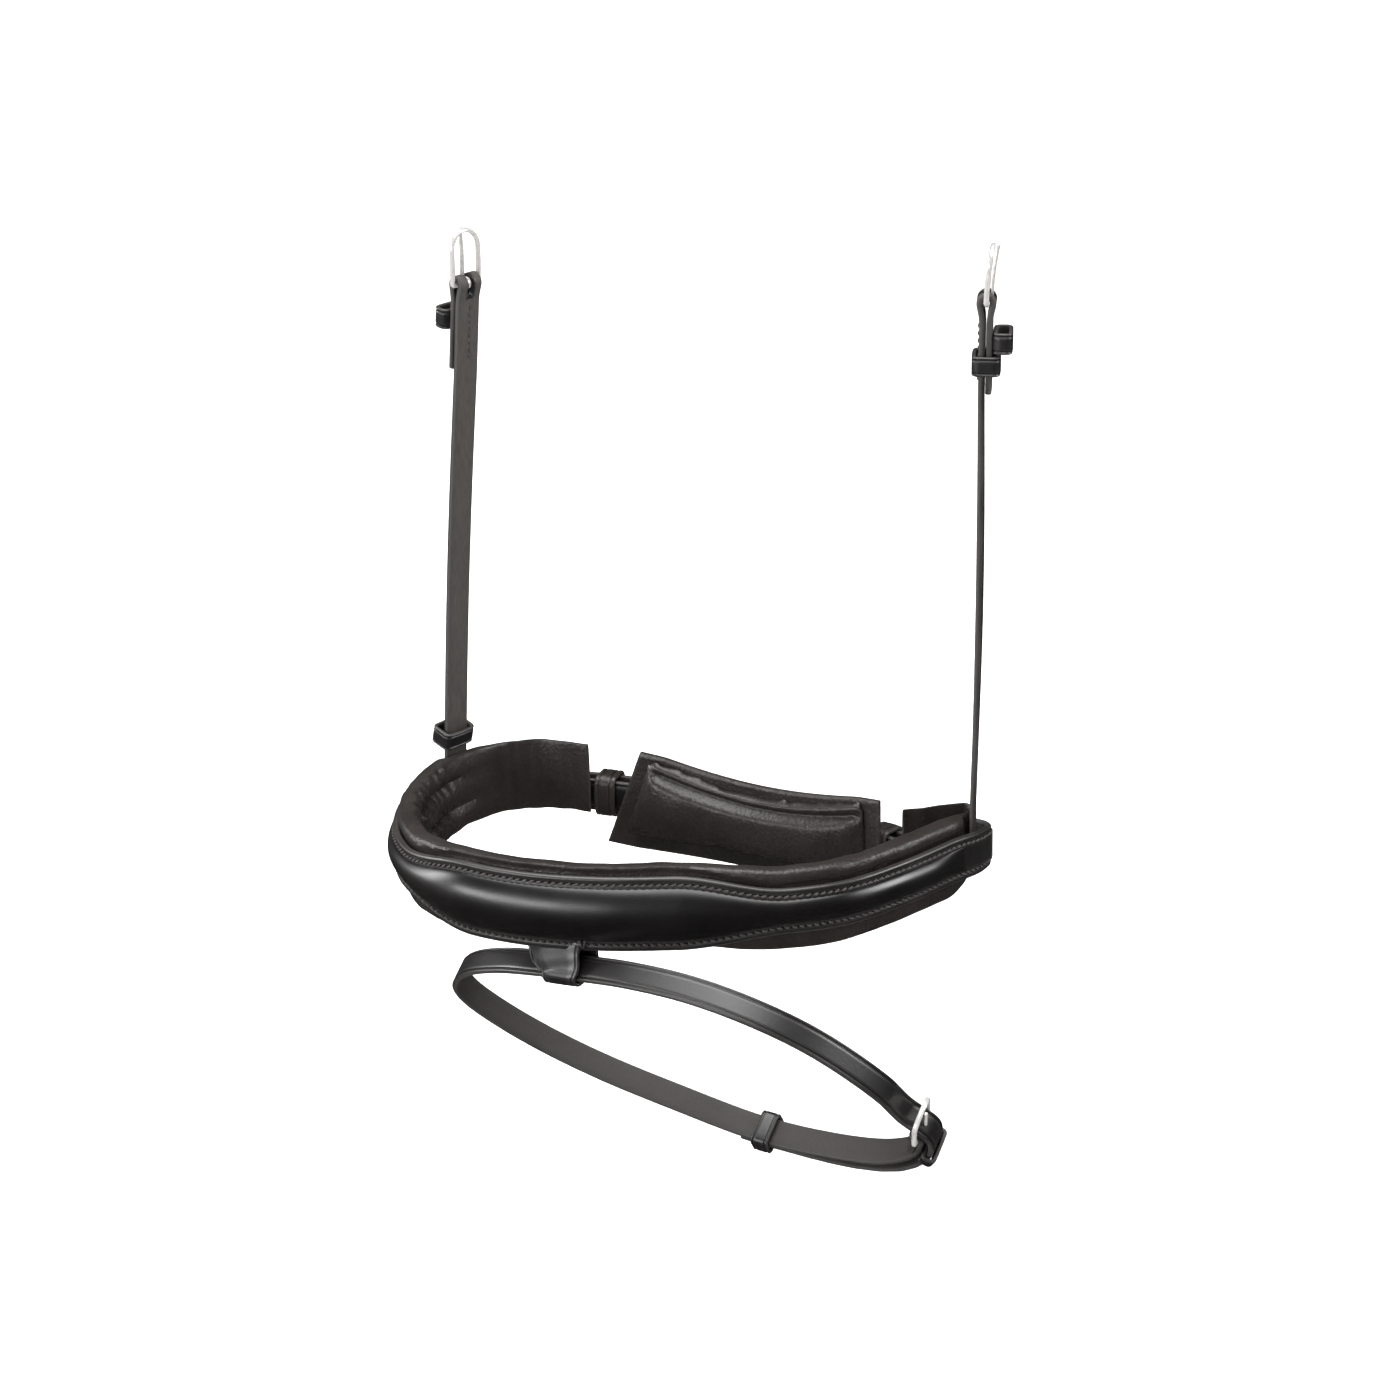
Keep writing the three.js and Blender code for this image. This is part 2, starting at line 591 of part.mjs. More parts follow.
// ---- Flash strap, in its own tilted plane ----
const FLASH_LINE = [
  [154, 53],
  [149, 72],
  [133, 92],
  [109, 106],
  [70, 116],
  [29, 111],
  [-6, 103],
  [-32, 91],
  [-51, 76],
  [-61, 62],
  [-62, 48],
  [-52, 30],
  [-33, 14],
  [-12, 3],
  [10, -6],
  [34, -15],
  [62, -20],
  [88, -17],
  [112, -7],
  [132, 11],
  [146, 31],
];
const flashLoop = smoothCurve(FLASH_LINE, true);
flashLoop.arcLengthDivisions = 400;
const FLASH_ROUND = flashLoop.getLength();
const flashMap = (u, v) => {
  const t = (((u / FLASH_ROUND) % 1) + 1) % 1;
  const p = flashLoop.getPointAt(t);
  const along = flashLoop.getTangentAt(t);
  return new THREE.Vector2(p.x + along.y * v, p.y - along.x * v);
};
const FLASH_RUNNER_U = 112;
const FLASH_TIP_U = 122;

function flashStrap(parent) {
  const steps = 54;
  const long = FLASH_ROUND - 30 - 18;
  const path = [
    ...foldRoundBar().map(([u, v]) => flashMap(u, v)),
    ...Array.from({ length: steps }, (_, k) => flashMap(18 + (long * k) / steps, 0)),
    ...billetThroughBuckle.map(([u, v]) => flashMap(u, v)),
    flashMap(30, 5.6),
    flashMap(42, 6.4),
    flashMap(55, 6.6),
    flashMap(68, 6.2),
    flashMap(80, 5.2),
    flashMap(92, 3.8),
    flashMap(100, LAYER),
    flashMap(FLASH_TIP_U, LAYER),
  ];
  buckledStrap(parent, "flash", FLASH_WIDTH, path, flashMap, FLASH_RUNNER_U);
}

// ---- Assembly ----
const noseband = new THREE.Group();
object.add(noseband);

const recesses = [
  cheekHanger("left", 8.8, 5, { x: 26, y: -14 }, 160, 5.4, 8),
  cheekHanger("right", 53.2, 5.4, { x: 2.4, y: 2 }, 18, 193, 0),
];

// Keeper for the flash: sewn tab between strap and pad, and the loop that hangs from it.
const keeperSeat = onNose(30.2, -NOSE_STRAP_T - 0.7);
const keeperHeading = noseFrames[30].heading;
const tabFrame = placed(
  noseband,
  new THREE.Vector3(keeperSeat.x, keeperSeat.y, -17.4),
  new THREE.Vector3(keeperHeading.x, keeperHeading.y, 0),
  new THREE.Vector3(0, 0, 1),
);
add(tabFrame, "flash_keeper_tab", box(-9, 0, -2.4, 9, 15, 0), STRAP_LEATHER);
tabFrame.updateWorldMatrix(true, false);
recesses.push(box(-9.4, -4, -2.8, 9.4, 16, 3).applyMatrix4(tabFrame.matrixWorld));

const tiltAngle = FLASH_SIDE_TILT * DEG;
const flashAcross = new THREE.Vector3(Math.cos(tiltAngle), 0, -Math.sin(tiltAngle));
flashAcross.addScaledVector(FLASH_NORMAL, -flashAcross.dot(FLASH_NORMAL)).normalize();
const flashDown = new THREE.Vector3().crossVectors(FLASH_NORMAL, flashAcross);
const flash = placed(object, FLASH_KNOT, flashAcross, flashDown);
flashStrap(flash);
const keeperU = FLASH_ROUND * FLASH_KEEPER_SHARE + FLASH_KEEPER_PAST;
const keeperAt = flashMap(keeperU, 0);
const keeperNext = flashMap(keeperU + 1, 0);
const keeperStep = keeperNext.clone().sub(keeperAt).normalize();
const keeperAlong = new THREE.Vector3(keeperStep.x, keeperStep.y, 0);
const keeperFrame = placed(
  flash,
  new THREE.Vector3(keeperAt.x, keeperAt.y, 0),
  new THREE.Vector3(keeperAlong.y, -keeperAlong.x, 0),
  keeperAlong,
);
const flashKeeper = loop(-1.8, -6.6, 1.8, 6.6, LOOP_T, FLASH_KEEPER_DEPTH, 1).rotateX(Math.PI / 2);
add(keeperFrame, "flash_keeper", flashKeeper, STRAP_LEATHER);

const noseStrapSection = strapSection(-NOSE_STRAP_T, 0, -1, 1, 0.02);
const noseStrap = noseLayer(noseStrapSection, NOSE_STRAP_SPAN, onStrap(0));
add(noseband, "nose_strap", noseStrap, SMOOTH_LEATHER);
add(noseband, "nose_raised_panel", raisedPanel(), SMOOTH_LEATHER);
add(noseband, "nose_pad", nosePad(recesses), SOFT_LEATHER);
add(noseband, "left_end_flap", endFlap([0, 5], 9.8), SOFT_LEATHER);
add(noseband, "right_end_flap", endFlap([55, 60], 7.6), SOFT_LEATHER);

const leftBar = chinPoint(CHIN_LEFT, CHIN_RADIUS);
const rightBar = chinPoint(CHIN_RIGHT, CHIN_RADIUS);
const leftNoseBar = leftBar.clone().add(new THREE.Vector2(-RING_REACH, 0.6));
const rightNoseBar = rightBar.clone().add(new THREE.Vector2(RING_REACH * 0.8, RING_REACH * 0.6));
endRing(noseband, "left_ring", leftNoseBar, leftBar);
endRing(noseband, "right_ring", rightNoseBar, rightBar);
ringChape(noseband, "left_ring_chape", leftNoseBar, [5, 4, 3]);
ringChape(noseband, "right_ring_chape", rightNoseBar, [55, 56, 57]);

const chin = new THREE.Group();
chin.position.z = -CHIN_DROP;
noseband.add(chin);
chinStrap(chin);

const jaw = new THREE.Group();
object.add(jaw);
add(jaw, "jaw_pad_shell", jawLeaf(JAW_BACK, JAW_SHELL_T, 0), SOFT_LEATHER);
add(jaw, "jaw_pad_cushion", jawLeaf(JAW_BACK + JAW_SHELL_T + GAP, JAW_CUSHION_T, 4.2), SOFT_LEATHER);
jawKeeper(jaw, "jaw_pad_left_keeper", 94.7, 12);
jawKeeper(jaw, "jaw_pad_right_keeper", 75.2, 12);

// The origin is the middle of the lining's face behind the nose.
const rest = onNose(30.5, PAD_BACK);
for (const part of object.children) part.position.sub(new THREE.Vector3(rest.x, rest.y, 0));

export default object;
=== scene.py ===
"""The leather, padding, thread and nickel of a crank noseband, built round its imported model."""

import json
import logging
import math
from collections.abc import Callable, Sequence
from dataclasses import dataclass, field, replace
from enum import Enum

import bmesh
import bpy
import numpy as np
from mathutils import Matrix, Vector, noise


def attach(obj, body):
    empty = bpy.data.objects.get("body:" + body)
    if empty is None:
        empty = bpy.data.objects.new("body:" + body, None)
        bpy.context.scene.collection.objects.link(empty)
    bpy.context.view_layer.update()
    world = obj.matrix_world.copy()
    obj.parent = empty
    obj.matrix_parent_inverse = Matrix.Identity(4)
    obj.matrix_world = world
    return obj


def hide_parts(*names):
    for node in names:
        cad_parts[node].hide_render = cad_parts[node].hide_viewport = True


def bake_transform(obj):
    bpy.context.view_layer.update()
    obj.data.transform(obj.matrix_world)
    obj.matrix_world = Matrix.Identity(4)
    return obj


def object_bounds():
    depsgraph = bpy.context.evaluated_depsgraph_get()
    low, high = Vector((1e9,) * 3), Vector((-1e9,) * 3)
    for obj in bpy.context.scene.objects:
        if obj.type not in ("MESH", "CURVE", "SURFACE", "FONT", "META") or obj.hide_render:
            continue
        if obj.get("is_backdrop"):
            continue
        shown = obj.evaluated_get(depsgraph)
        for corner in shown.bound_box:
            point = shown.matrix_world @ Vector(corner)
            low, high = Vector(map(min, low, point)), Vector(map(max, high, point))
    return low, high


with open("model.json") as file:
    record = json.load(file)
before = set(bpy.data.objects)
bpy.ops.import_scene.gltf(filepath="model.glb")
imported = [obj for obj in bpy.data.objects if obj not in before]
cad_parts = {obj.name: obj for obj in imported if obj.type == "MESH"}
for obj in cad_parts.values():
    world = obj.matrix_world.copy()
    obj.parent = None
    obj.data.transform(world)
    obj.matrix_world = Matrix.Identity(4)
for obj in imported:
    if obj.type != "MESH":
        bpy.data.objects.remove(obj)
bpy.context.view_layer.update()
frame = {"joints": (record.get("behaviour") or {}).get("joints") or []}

log = logging.getLogger("noseband")

MM = 0.001
UP = np.array([0.0, 0.0, 1.0])
Array = np.ndarray


# ---------------------------------------------------------------- small maths


def ease(value: float, low: float, high: float) -> float:
    """Smooth step of value from 0 at low to 1 at high."""
    t = min(max((value - low) / (high - low), 0.0), 1.0)
    return t * t * (3 - 2 * t)


def mix(a: float, b: float, share: float) -> float:
    """Value this share of the way from a to b."""
    return a + (b - a) * share


def hump(value: float, centre: float, half: float, blend: float) -> float:
    """1 within half of the centre, falling to 0 over the blend."""
    return 1 - ease(abs(value - centre), half, half + blend)


def unit(v: Array) -> Array:
    """The vector at length 1."""
    return v / np.linalg.norm(v)


def wobble(x: float, y: float, z: float) -> float:
    """Smooth noise from about -1 to 1, the same on every run."""
    return noise.noise(Vector((x, y, z)))


def joint(name: str) -> dict:
    """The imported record's joint of that name."""
    return next(j for j in frame["joints"] if j["name"] == name)


def joint_axis(name: str) -> Array:
    """Direction of a joint's axis."""
    return unit(np.array(joint(name)["axis"], float))


def joint_place(name: str) -> Array:
    """Point that a hinge turns about, in millimetres."""
    return np.array(joint(name)["pos_m"], float) / MM


class SmoothLine:
    """A smooth flat line through given points, measured by its length."""

    def __init__(self, points: Sequence[tuple[float, float]], closed: bool = False) -> None:
        """Samples the line densely and adds up its length.

        Args:
            points: the points that the line passes through, in millimetres.
            closed: whether the line comes back to its first point.
        """
        pts = np.array(points, float)
        if closed:
            pts = np.vstack([pts[-1], pts, pts[0], pts[1]])
        else:
            pts = np.vstack([2 * pts[0] - pts[1], pts, 2 * pts[-1] - pts[-2]])
        samples = []
        for p0, p1, p2, p3 in zip(pts, pts[1:], pts[2:], pts[3:]):
            d0, d1, d2 = (np.linalg.norm(b - a) ** 0.5 for a, b in ((p0, p1), (p1, p2), (p2, p3)))
            t1 = ((p1 - p0) / d0 - (p2 - p0) / (d0 + d1) + (p2 - p1) / d1) * d1
            t2 = ((p2 - p1) / d1 - (p3 - p1) / (d1 + d2) + (p3 - p2) / d2) * d1
            for t in np.arange(40) / 40:
                samples.append(
                    p1 + t1 * t
                    + (-3 * p1 + 3 * p2 - 2 * t1 - t2) * t**2
                    + (2 * p1 - 2 * p2 + t1 + t2) * t**3
                )
        samples.append(pts[-2])
        self.samples = np.array(samples)
        steps = np.linalg.norm(np.diff(self.samples, axis=0), axis=1)
        self.reach = np.concatenate([[0], np.cumsum(steps)])
        self.length = float(self.reach[-1])
        self.closed = closed

    def at(self, distance: float) -> Array:
        """Point of the line.

        Args:
            distance: along the line.

        Returns:
            The point as (x, y).
        """
        if self.closed:
            distance %= self.length
        return np.array([np.interp(distance, self.reach, self.samples[:, k]) for k in (0, 1)])

    def heading(self, distance: float) -> Array:
        """Direction of the line.

        Args:
            distance: along the line.

        Returns:
            A flat vector of length 1.
        """
        step = 0.6
        if not self.closed:
            distance = min(max(distance, step), self.length - step)
        return unit(self.at(distance + step) - self.at(distance - step))

    def offset(self, distance: float, out: float) -> Array:
        """Point beside the line, out to the right of its heading."""
        heading = self.heading(distance)
        return self.at(distance) + out * np.array([heading[1], -heading[0]])


def polar(centre: Array, radius: float, degrees: float) -> Array:
    """Point of a circle."""
    a = math.radians(degrees)
    return centre + radius * np.array([math.cos(a), math.sin(a)])


def arc(centre: Array, radius: float, start: float, end: float, steps: int) -> list[Array]:
    """Points of an arc, from one direction in degrees to another."""
    return [polar(centre, radius, start + (end - start) * k / steps) for k in range(steps + 1)]


def resample(points: Sequence[Array], step: float) -> Array:
    """The same line as evenly spaced points, with its corners eased.

    Args:
        points: of the line.
        step: about how far apart the new points are.

    Returns:
        The new points.
    """
    pts = np.array(points, float)
    run = np.concatenate([[0], np.cumsum(np.linalg.norm(np.diff(pts, axis=0), axis=1))])
    at = np.linspace(0, run[-1], max(2, int(run[-1] / step)) + 1)
    line = np.stack([np.interp(at, run, pts[:, k]) for k in range(pts.shape[1])], 1)
    for _ in range(3):
        line[1:-1] = (line[:-2] + 2 * line[1:-1] + line[2:]) / 4
    return line


def tangents(path: Array, closed: bool = False) -> Array:
    """Direction of a line at each of its points.

    Args:
        path: the points.
        closed: whether the line comes back to its first point.

    Returns:
        A vector of length 1 for each point.
    """
    along = np.roll(path, -1, 0) - np.roll(path, 1, 0) if closed else np.gradient(path, axis=0)
    return along / np.linalg.norm(along, axis=1)[:, None]


@dataclass
class Place:
    """Origin and axes of a sub-assembly: out of the strap, along it and across it.

    Args:
        origin: in the frame of the whole piece, in millimetres.
        out: direction out of the strap's face.
        along: direction along the strap.
    """

    origin: Array
    out: Array
    along: Array

    @property
    def across(self) -> Array:
        """Direction across the strap."""
        return np.cross(self.out, self.along)

    @property
    def axes(self) -> Array:
        """The three directions as the rows of a matrix."""
        return np.stack([self.out, self.along, self.across])

    def point(self, x: float, y: float, z: float = 0.0) -> Array:
        """A local point in the frame of the whole piece, in millimetres."""
        return self.origin + x * self.out + y * self.along + z * self.across

    def tilted(self, degrees: float) -> "Place":
        """The same place with its along direction leaning towards its out direction.

        Args:
            degrees: that it leans.

        Returns:
            The leaning place.
        """
        a = math.radians(degrees)
        along = math.cos(a) * self.along + math.sin(a) * self.out
        out = math.cos(a) * self.out - math.sin(a) * self.along
        return Place(self.origin, out, along)


# ---------------------------------------------------------------- meshes


@dataclass
class Profile:
    """Closed outline carried along a path: points as (out, across), with what each one shows.

    Args:
        points: the outline, in millimetres.
        wear_and_sheen: 0 to 1 at each point, how much lighter colour it takes: wear where the finish is
            rubbed, and a painted highlight on crease ridges.
        flesh: 0 to 1 at each point, 1 on the unpolished inner face.
    """

    points: Array
    wear_and_sheen: Array
    flesh: Array


# A pressed crease across its width: distance from its middle, and share of its depth.
CREASE_SHAPE = ((-0.75, 0.0), (-0.4, 0.35), (-0.15, 1.0), (0.15, 1.0), (0.4, 0.35), (0.75, 0.0))
CREASE_HALF = 0.75


def strap_profile(
    thickness: float,
    half: float,
    crease: float = 1.6,
    depth: float = 0.28,
    round_edge: float = 0.75,
    middle: float = 0.0,
    flesh: bool = True,
) -> Profile:
    """Outline of a strap with rounded edges and a pressed crease near each edge.

    Args:
        thickness: of the leather.
        half: half of the strap's width.
        crease: distance of the crease from the edge; 0 leaves it out.
        depth: how deep the crease is pressed.
        round_edge: radius of the edges.
        middle: offset of the middle of the thickness.
        flesh: whether the inner face is unpolished.

    Returns:
        The outline, counter-clockwise from the inner face's low edge.
    """
    r = min(round_edge, thickness / 2 * 0.98)
    low, high = middle - thickness / 2, middle + thickness / 2
    corner = [math.radians(a) for a in (0, 30, 60, 90)]
    outer = []
    for a in corner:
        outer.append((high - r + r * math.sin(a), -half + r - r * math.cos(a)))
    if crease > 0:
        for shift, share in CREASE_SHAPE:
            outer.append((high - depth * share, -half + crease + shift))
    outer.append((high, -half * 0.45))
    across = outer + [(x, -y) for x, y in reversed(outer)]
    back = []
    for a in corner:
        back.append((low + r - r * math.sin(a), half - r + r * math.cos(a)))
    back.append((low, half * 0.45))
    inner = back + [(x, -y) for x, y in reversed(back)]
    pts = np.array(across + inner)
    edge = np.abs(np.abs(pts[:, 1]) - half) < r * 0.75
    is_inner = np.arange(len(pts)) >= len(across)
    from_crease = np.abs(half - np.abs(pts[:, 1]) - crease)
    ridge = (crease > 0) & (np.abs(from_crease - CREASE_HALF) < 0.1)
    # Rubbed edges get the full lighter colour as wear; crease ridges get 0.6 of it as a painted
    # highlight.
    wear_and_sheen = np.where(edge, 1.0, np.where(ridge, 0.6, 0.0))
    return Profile(pts, wear_and_sheen, np.where(is_inner & flesh, 1.0, 0.0))


def wire_profile(x_half: float, y_half: float, count: int = 14, power: float = 0.8) -> Profile:
    """Round or slightly squared section of a metal fitting.

    Args:
        x_half: half of its thickness out of the frame.
        y_half: half of its width in the frame's plane.
        count: number of points.
        power: 1 is an ellipse, less is squarer.

    Returns:
        The outline.
    """
    a = np.arange(count) * 2 * math.pi / count
    c, s = np.cos(a), np.sin(a)
    x = x_half * np.sign(c) * np.abs(c) ** power
    y = y_half * np.sign(s) * np.abs(s) ** power
    return Profile(np.stack([x, y], 1), np.zeros(count), np.zeros(count))


def mesh_piece(
    name: str, vertices: Array, faces: Sequence[Sequence[int]], **marks: Array
) -> bpy.types.Object:
    """A mesh object from points in millimetres.

    Args:
        name: of the piece.
        vertices: its points, in millimetres.
        faces: indices of each face's points.
        **marks: a number at each point, kept as an attribute of that name.

    Returns:
        The object, smooth, with its faces pointing out.
    """
    mesh = bpy.data.meshes.new(name)
    mesh.from_pydata((np.asarray(vertices) * MM).tolist(), [], [list(f) for f in faces])
    for key, values in marks.items():
        mark = mesh.attributes.new(key, "FLOAT", "POINT")
        mark.data.foreach_set("value", np.asarray(values, np.float32))
    work = bmesh.new()
    work.from_mesh(mesh)
    bmesh.ops.recalc_face_normals(work, faces=work.faces)
    work.to_mesh(mesh)
    work.free()
    finish_shading(mesh)
    piece = bpy.data.objects.new(name, mesh)
    bpy.context.scene.collection.objects.link(piece)
    return piece


def finish_shading(mesh: bpy.types.Mesh, degrees: float = 42) -> None:
    """Smooths the mesh, apart from edges sharper than the angle."""
    mesh.shade_smooth()
    mesh.set_sharp_from_angle(angle=math.radians(degrees))


def tube_faces(rings: int, sides: int, closed: bool = False, base: int = 0) -> list[tuple[int, ...]]:
    """Faces of a tube made of rings of points.

    Args:
        rings: number of rings.
        sides: number of points in each.
        closed: whether the last ring joins the first; an open tube gets two end faces.
        base: number of its first point.

    Returns:
        The point numbers of each face.
    """
    faces = []
    for k in range(rings if closed else rings - 1):
        here, ahead = base + k * sides, base + (k + 1) % rings * sides
        for j in range(sides):
            i = (j + 1) % sides
            faces.append((here + j, here + i, ahead + i, ahead + j))
    if not closed:
        last = base + (rings - 1) * sides
        faces.append(tuple(range(base, base + sides)))
        faces.append(tuple(range(last, last + sides)))
    return faces


# The two rings that round an open end off: how far each is drawn in and stands out, as shares.
END_RINGS = ((0.16, 0.62), (0.55, 1.0))


def sweep(
    name: str,
    centres: Array,
    outs: Array,
    acrosses: Array,
    profile: Profile | Sequence[Profile],
    closed: bool = False,
    round_end: float = 0.5,
) -> bpy.types.Object:
    """Carries a profile along a path.

    Args:
        name: of the piece.
        centres: points of the path.
        outs: direction of the profile's first coordinate at each point.
        acrosses: direction of its second coordinate.
        profile: one outline, or one for each point, all with as many points.
        closed: whether the last ring joins the first.
        round_end: length over which an open end is rounded.

    Returns:
        The piece.
    """
    count = len(centres)
    each = [profile] * count if isinstance(profile, Profile) else list(profile)
    rings = []
    wear_and_sheen = []
    for k in range(count):
        pts = each[k].points
        rings.append(centres[k] + pts[:, :1] * outs[k] + pts[:, 1:] * acrosses[k])
        wear_and_sheen.append(each[k].wear_and_sheen)
    flesh = [p.flesh for p in each]
    if not closed and round_end > 0:
        for end, step in ((0, 1), (-1, -1)):
            away = unit(rings[end].mean(0) - rings[end + step].mean(0)) * round_end
            middle = each[end].points.mean(0)
            caps = []
            for inset, reach in END_RINGS:
                pts = shrunk(each[end].points - middle, round_end * inset) + middle
                cap = centres[end] + pts[:, :1] * outs[end] + pts[:, 1:] * acrosses[end]
                caps.append(cap + away * reach)
            rubbed_and_sheen = [np.ones(len(pts))] * 2
            rings = rings + caps if end else caps[::-1] + rings
            wear_and_sheen = wear_and_sheen + rubbed_and_sheen if end else rubbed_and_sheen + wear_and_sheen
            flesh = flesh + flesh[-1:] * 2 if end else flesh[:1] * 2 + flesh
    faces = tube_faces(len(rings), len(rings[0]), closed)
    marks = {"wear_and_sheen": np.concatenate(wear_and_sheen), "flesh": np.concatenate(flesh)}
    return mesh_piece(name, np.vstack(rings), faces, **marks)


def shrunk(points: Array, by: float) -> Array:
    """An outline about 0 with each point moved in by that much in both directions."""
    return np.sign(points) * np.maximum(np.abs(points) - by, np.abs(points) * 0.2)


def flat_frames(path: Array, z: float = 0.0) -> tuple[Array, Array, Array]:
    """Centres and directions for a strap stood on edge along a flat path.

    Args:
        path: points as (x, y).
        z: height of the path.

    Returns:
        The centres, the outward directions (right of the heading) and the upward ones.
    """
    along = tangents(path)
    centres = np.column_stack([path, np.full(len(path), z)])
    outs = np.column_stack([along[:, 1], -along[:, 0], np.zeros(len(path))])
    return centres, outs, np.tile(UP, (len(path), 1))


def placed_frames(
    place: Place, centres: Array, outs: Array, acrosses: Array
) -> tuple[Array, Array, Array]:
    """Path frames drawn in a place's own axes, with x out, y along and z across.

    Args:
        place: the sub-assembly's place.
        centres: local points.
        outs: local directions.
        acrosses: local directions.

    Returns:
        The same frames in the frame of the whole piece.
    """
    axes = place.axes
    return centres @ axes + place.origin, outs @ axes, acrosses @ axes


def punch(piece: bpy.types.Object, cutter: bpy.types.Object) -> None:
    """Cuts one shape out of a piece.

    Args:
        piece: to cut.
        cutter: the shape, which is removed afterwards.
    """
    cut = piece.modifiers.new("punch", "BOOLEAN")
    cut.operation = "DIFFERENCE"
    cut.solver = "EXACT"
    cut.object = cutter
    apply_modifiers(piece)
    bpy.data.objects.remove(cutter)
    finish_shading(piece.data)


def apply_modifiers(piece: bpy.types.Object) -> None:
    """Makes the modifiers' result the piece's own mesh.

    Args:
        piece: with the modifiers.
    """
    graph = bpy.context.evaluated_depsgraph_get()
    graph.update()
    mesh = bpy.data.meshes.new_from_object(piece.evaluated_get(graph))
    piece.modifiers.clear()
    piece.data = mesh


def slot_cutter(
    place: Place, x: tuple[float, float], y: tuple[float, float], half: float
) -> bpy.types.Object:
    """Long hole with round ends, along the strap.

    Args:
        place: of the hole.
        x: from where to where it goes through, out of the strap.
        y: where it starts and ends along the strap.
        half: half of its width.

    Returns:
        The solid to cut with.
    """
    middle = (y[0] + y[1]) / 2
    reach = (y[1] - y[0]) / 2 - half
    round_end = np.linspace(-1.57, 1.57, 9)
    outline = [(middle + reach + half * math.cos(a), half * math.sin(a)) for a in round_end]
    outline += [(middle - reach - half * math.cos(a), half * math.sin(a)) for a in -round_end]
    pts = [place.point(side, a, b) for side in x for a, b in outline]
    return mesh_piece("cutter", np.array(pts), tube_faces(2, len(outline)))


STITCH_LONG = 2.5
STITCH_PITCH = 3.1
STITCH_SIDES = 7
THREAD = 0.56
# Rings of one stitch: share of its half length, share of the thread's radius, height in millimetres.
STITCH_RINGS = (
    (-1.0, 0.25, -0.32),
    (-0.78, 0.8, -0.08),
    (-0.3, 1.0, 0.12),
    (0.3, 1.0, 0.12),
    (0.78, 0.8, -0.08),
    (1.0, 0.25, -0.32),
)


def stitch_row(name: str, points: Array, normals: Array, slant: float = 14) -> bpy.types.Object:
    """A row of sewn stitches lying in the leather, one short twist of thread each.

    Args:
        name: of the piece.
        points: the line of the row, closely spaced.
        normals: out of the leather at each point.
        slant: degrees that each stitch leans off the row.

    Returns:
        The piece.
    """
    run = np.concatenate([[0], np.cumsum(np.linalg.norm(np.diff(points, axis=0), axis=1))])
    vertices, faces = [], []
    a = math.radians(slant)
    for s in np.arange(STITCH_PITCH, run[-1] - STITCH_PITCH / 2, STITCH_PITCH):
        here, ahead, normal = (
            np.array([np.interp(s + d, run, values[:, k]) for k in range(3)])
            for d, values in ((0, points), (0.5, points), (0, normals))
        )
        normal = unit(normal)
        along = unit(ahead - here)
        side = np.cross(normal, along)
        along, side = (
            math.cos(a) * along + math.sin(a) * side,
            math.cos(a) * side - math.sin(a) * along,
        )
        faces += tube_faces(len(STITCH_RINGS), STITCH_SIDES, base=len(vertices))
        for t, size, lift in STITCH_RINGS:
            for k in range(STITCH_SIDES):
                b = 2 * math.pi * k / STITCH_SIDES
                vertices.append(
                    here + along * t * STITCH_LONG / 2
                    + size * THREAD * (math.cos(b) * side + math.sin(b) * normal)
                    + lift * normal
                )
    return mesh_piece(name, np.array(vertices), faces)


# ---------------------------------------------------------------- finishes


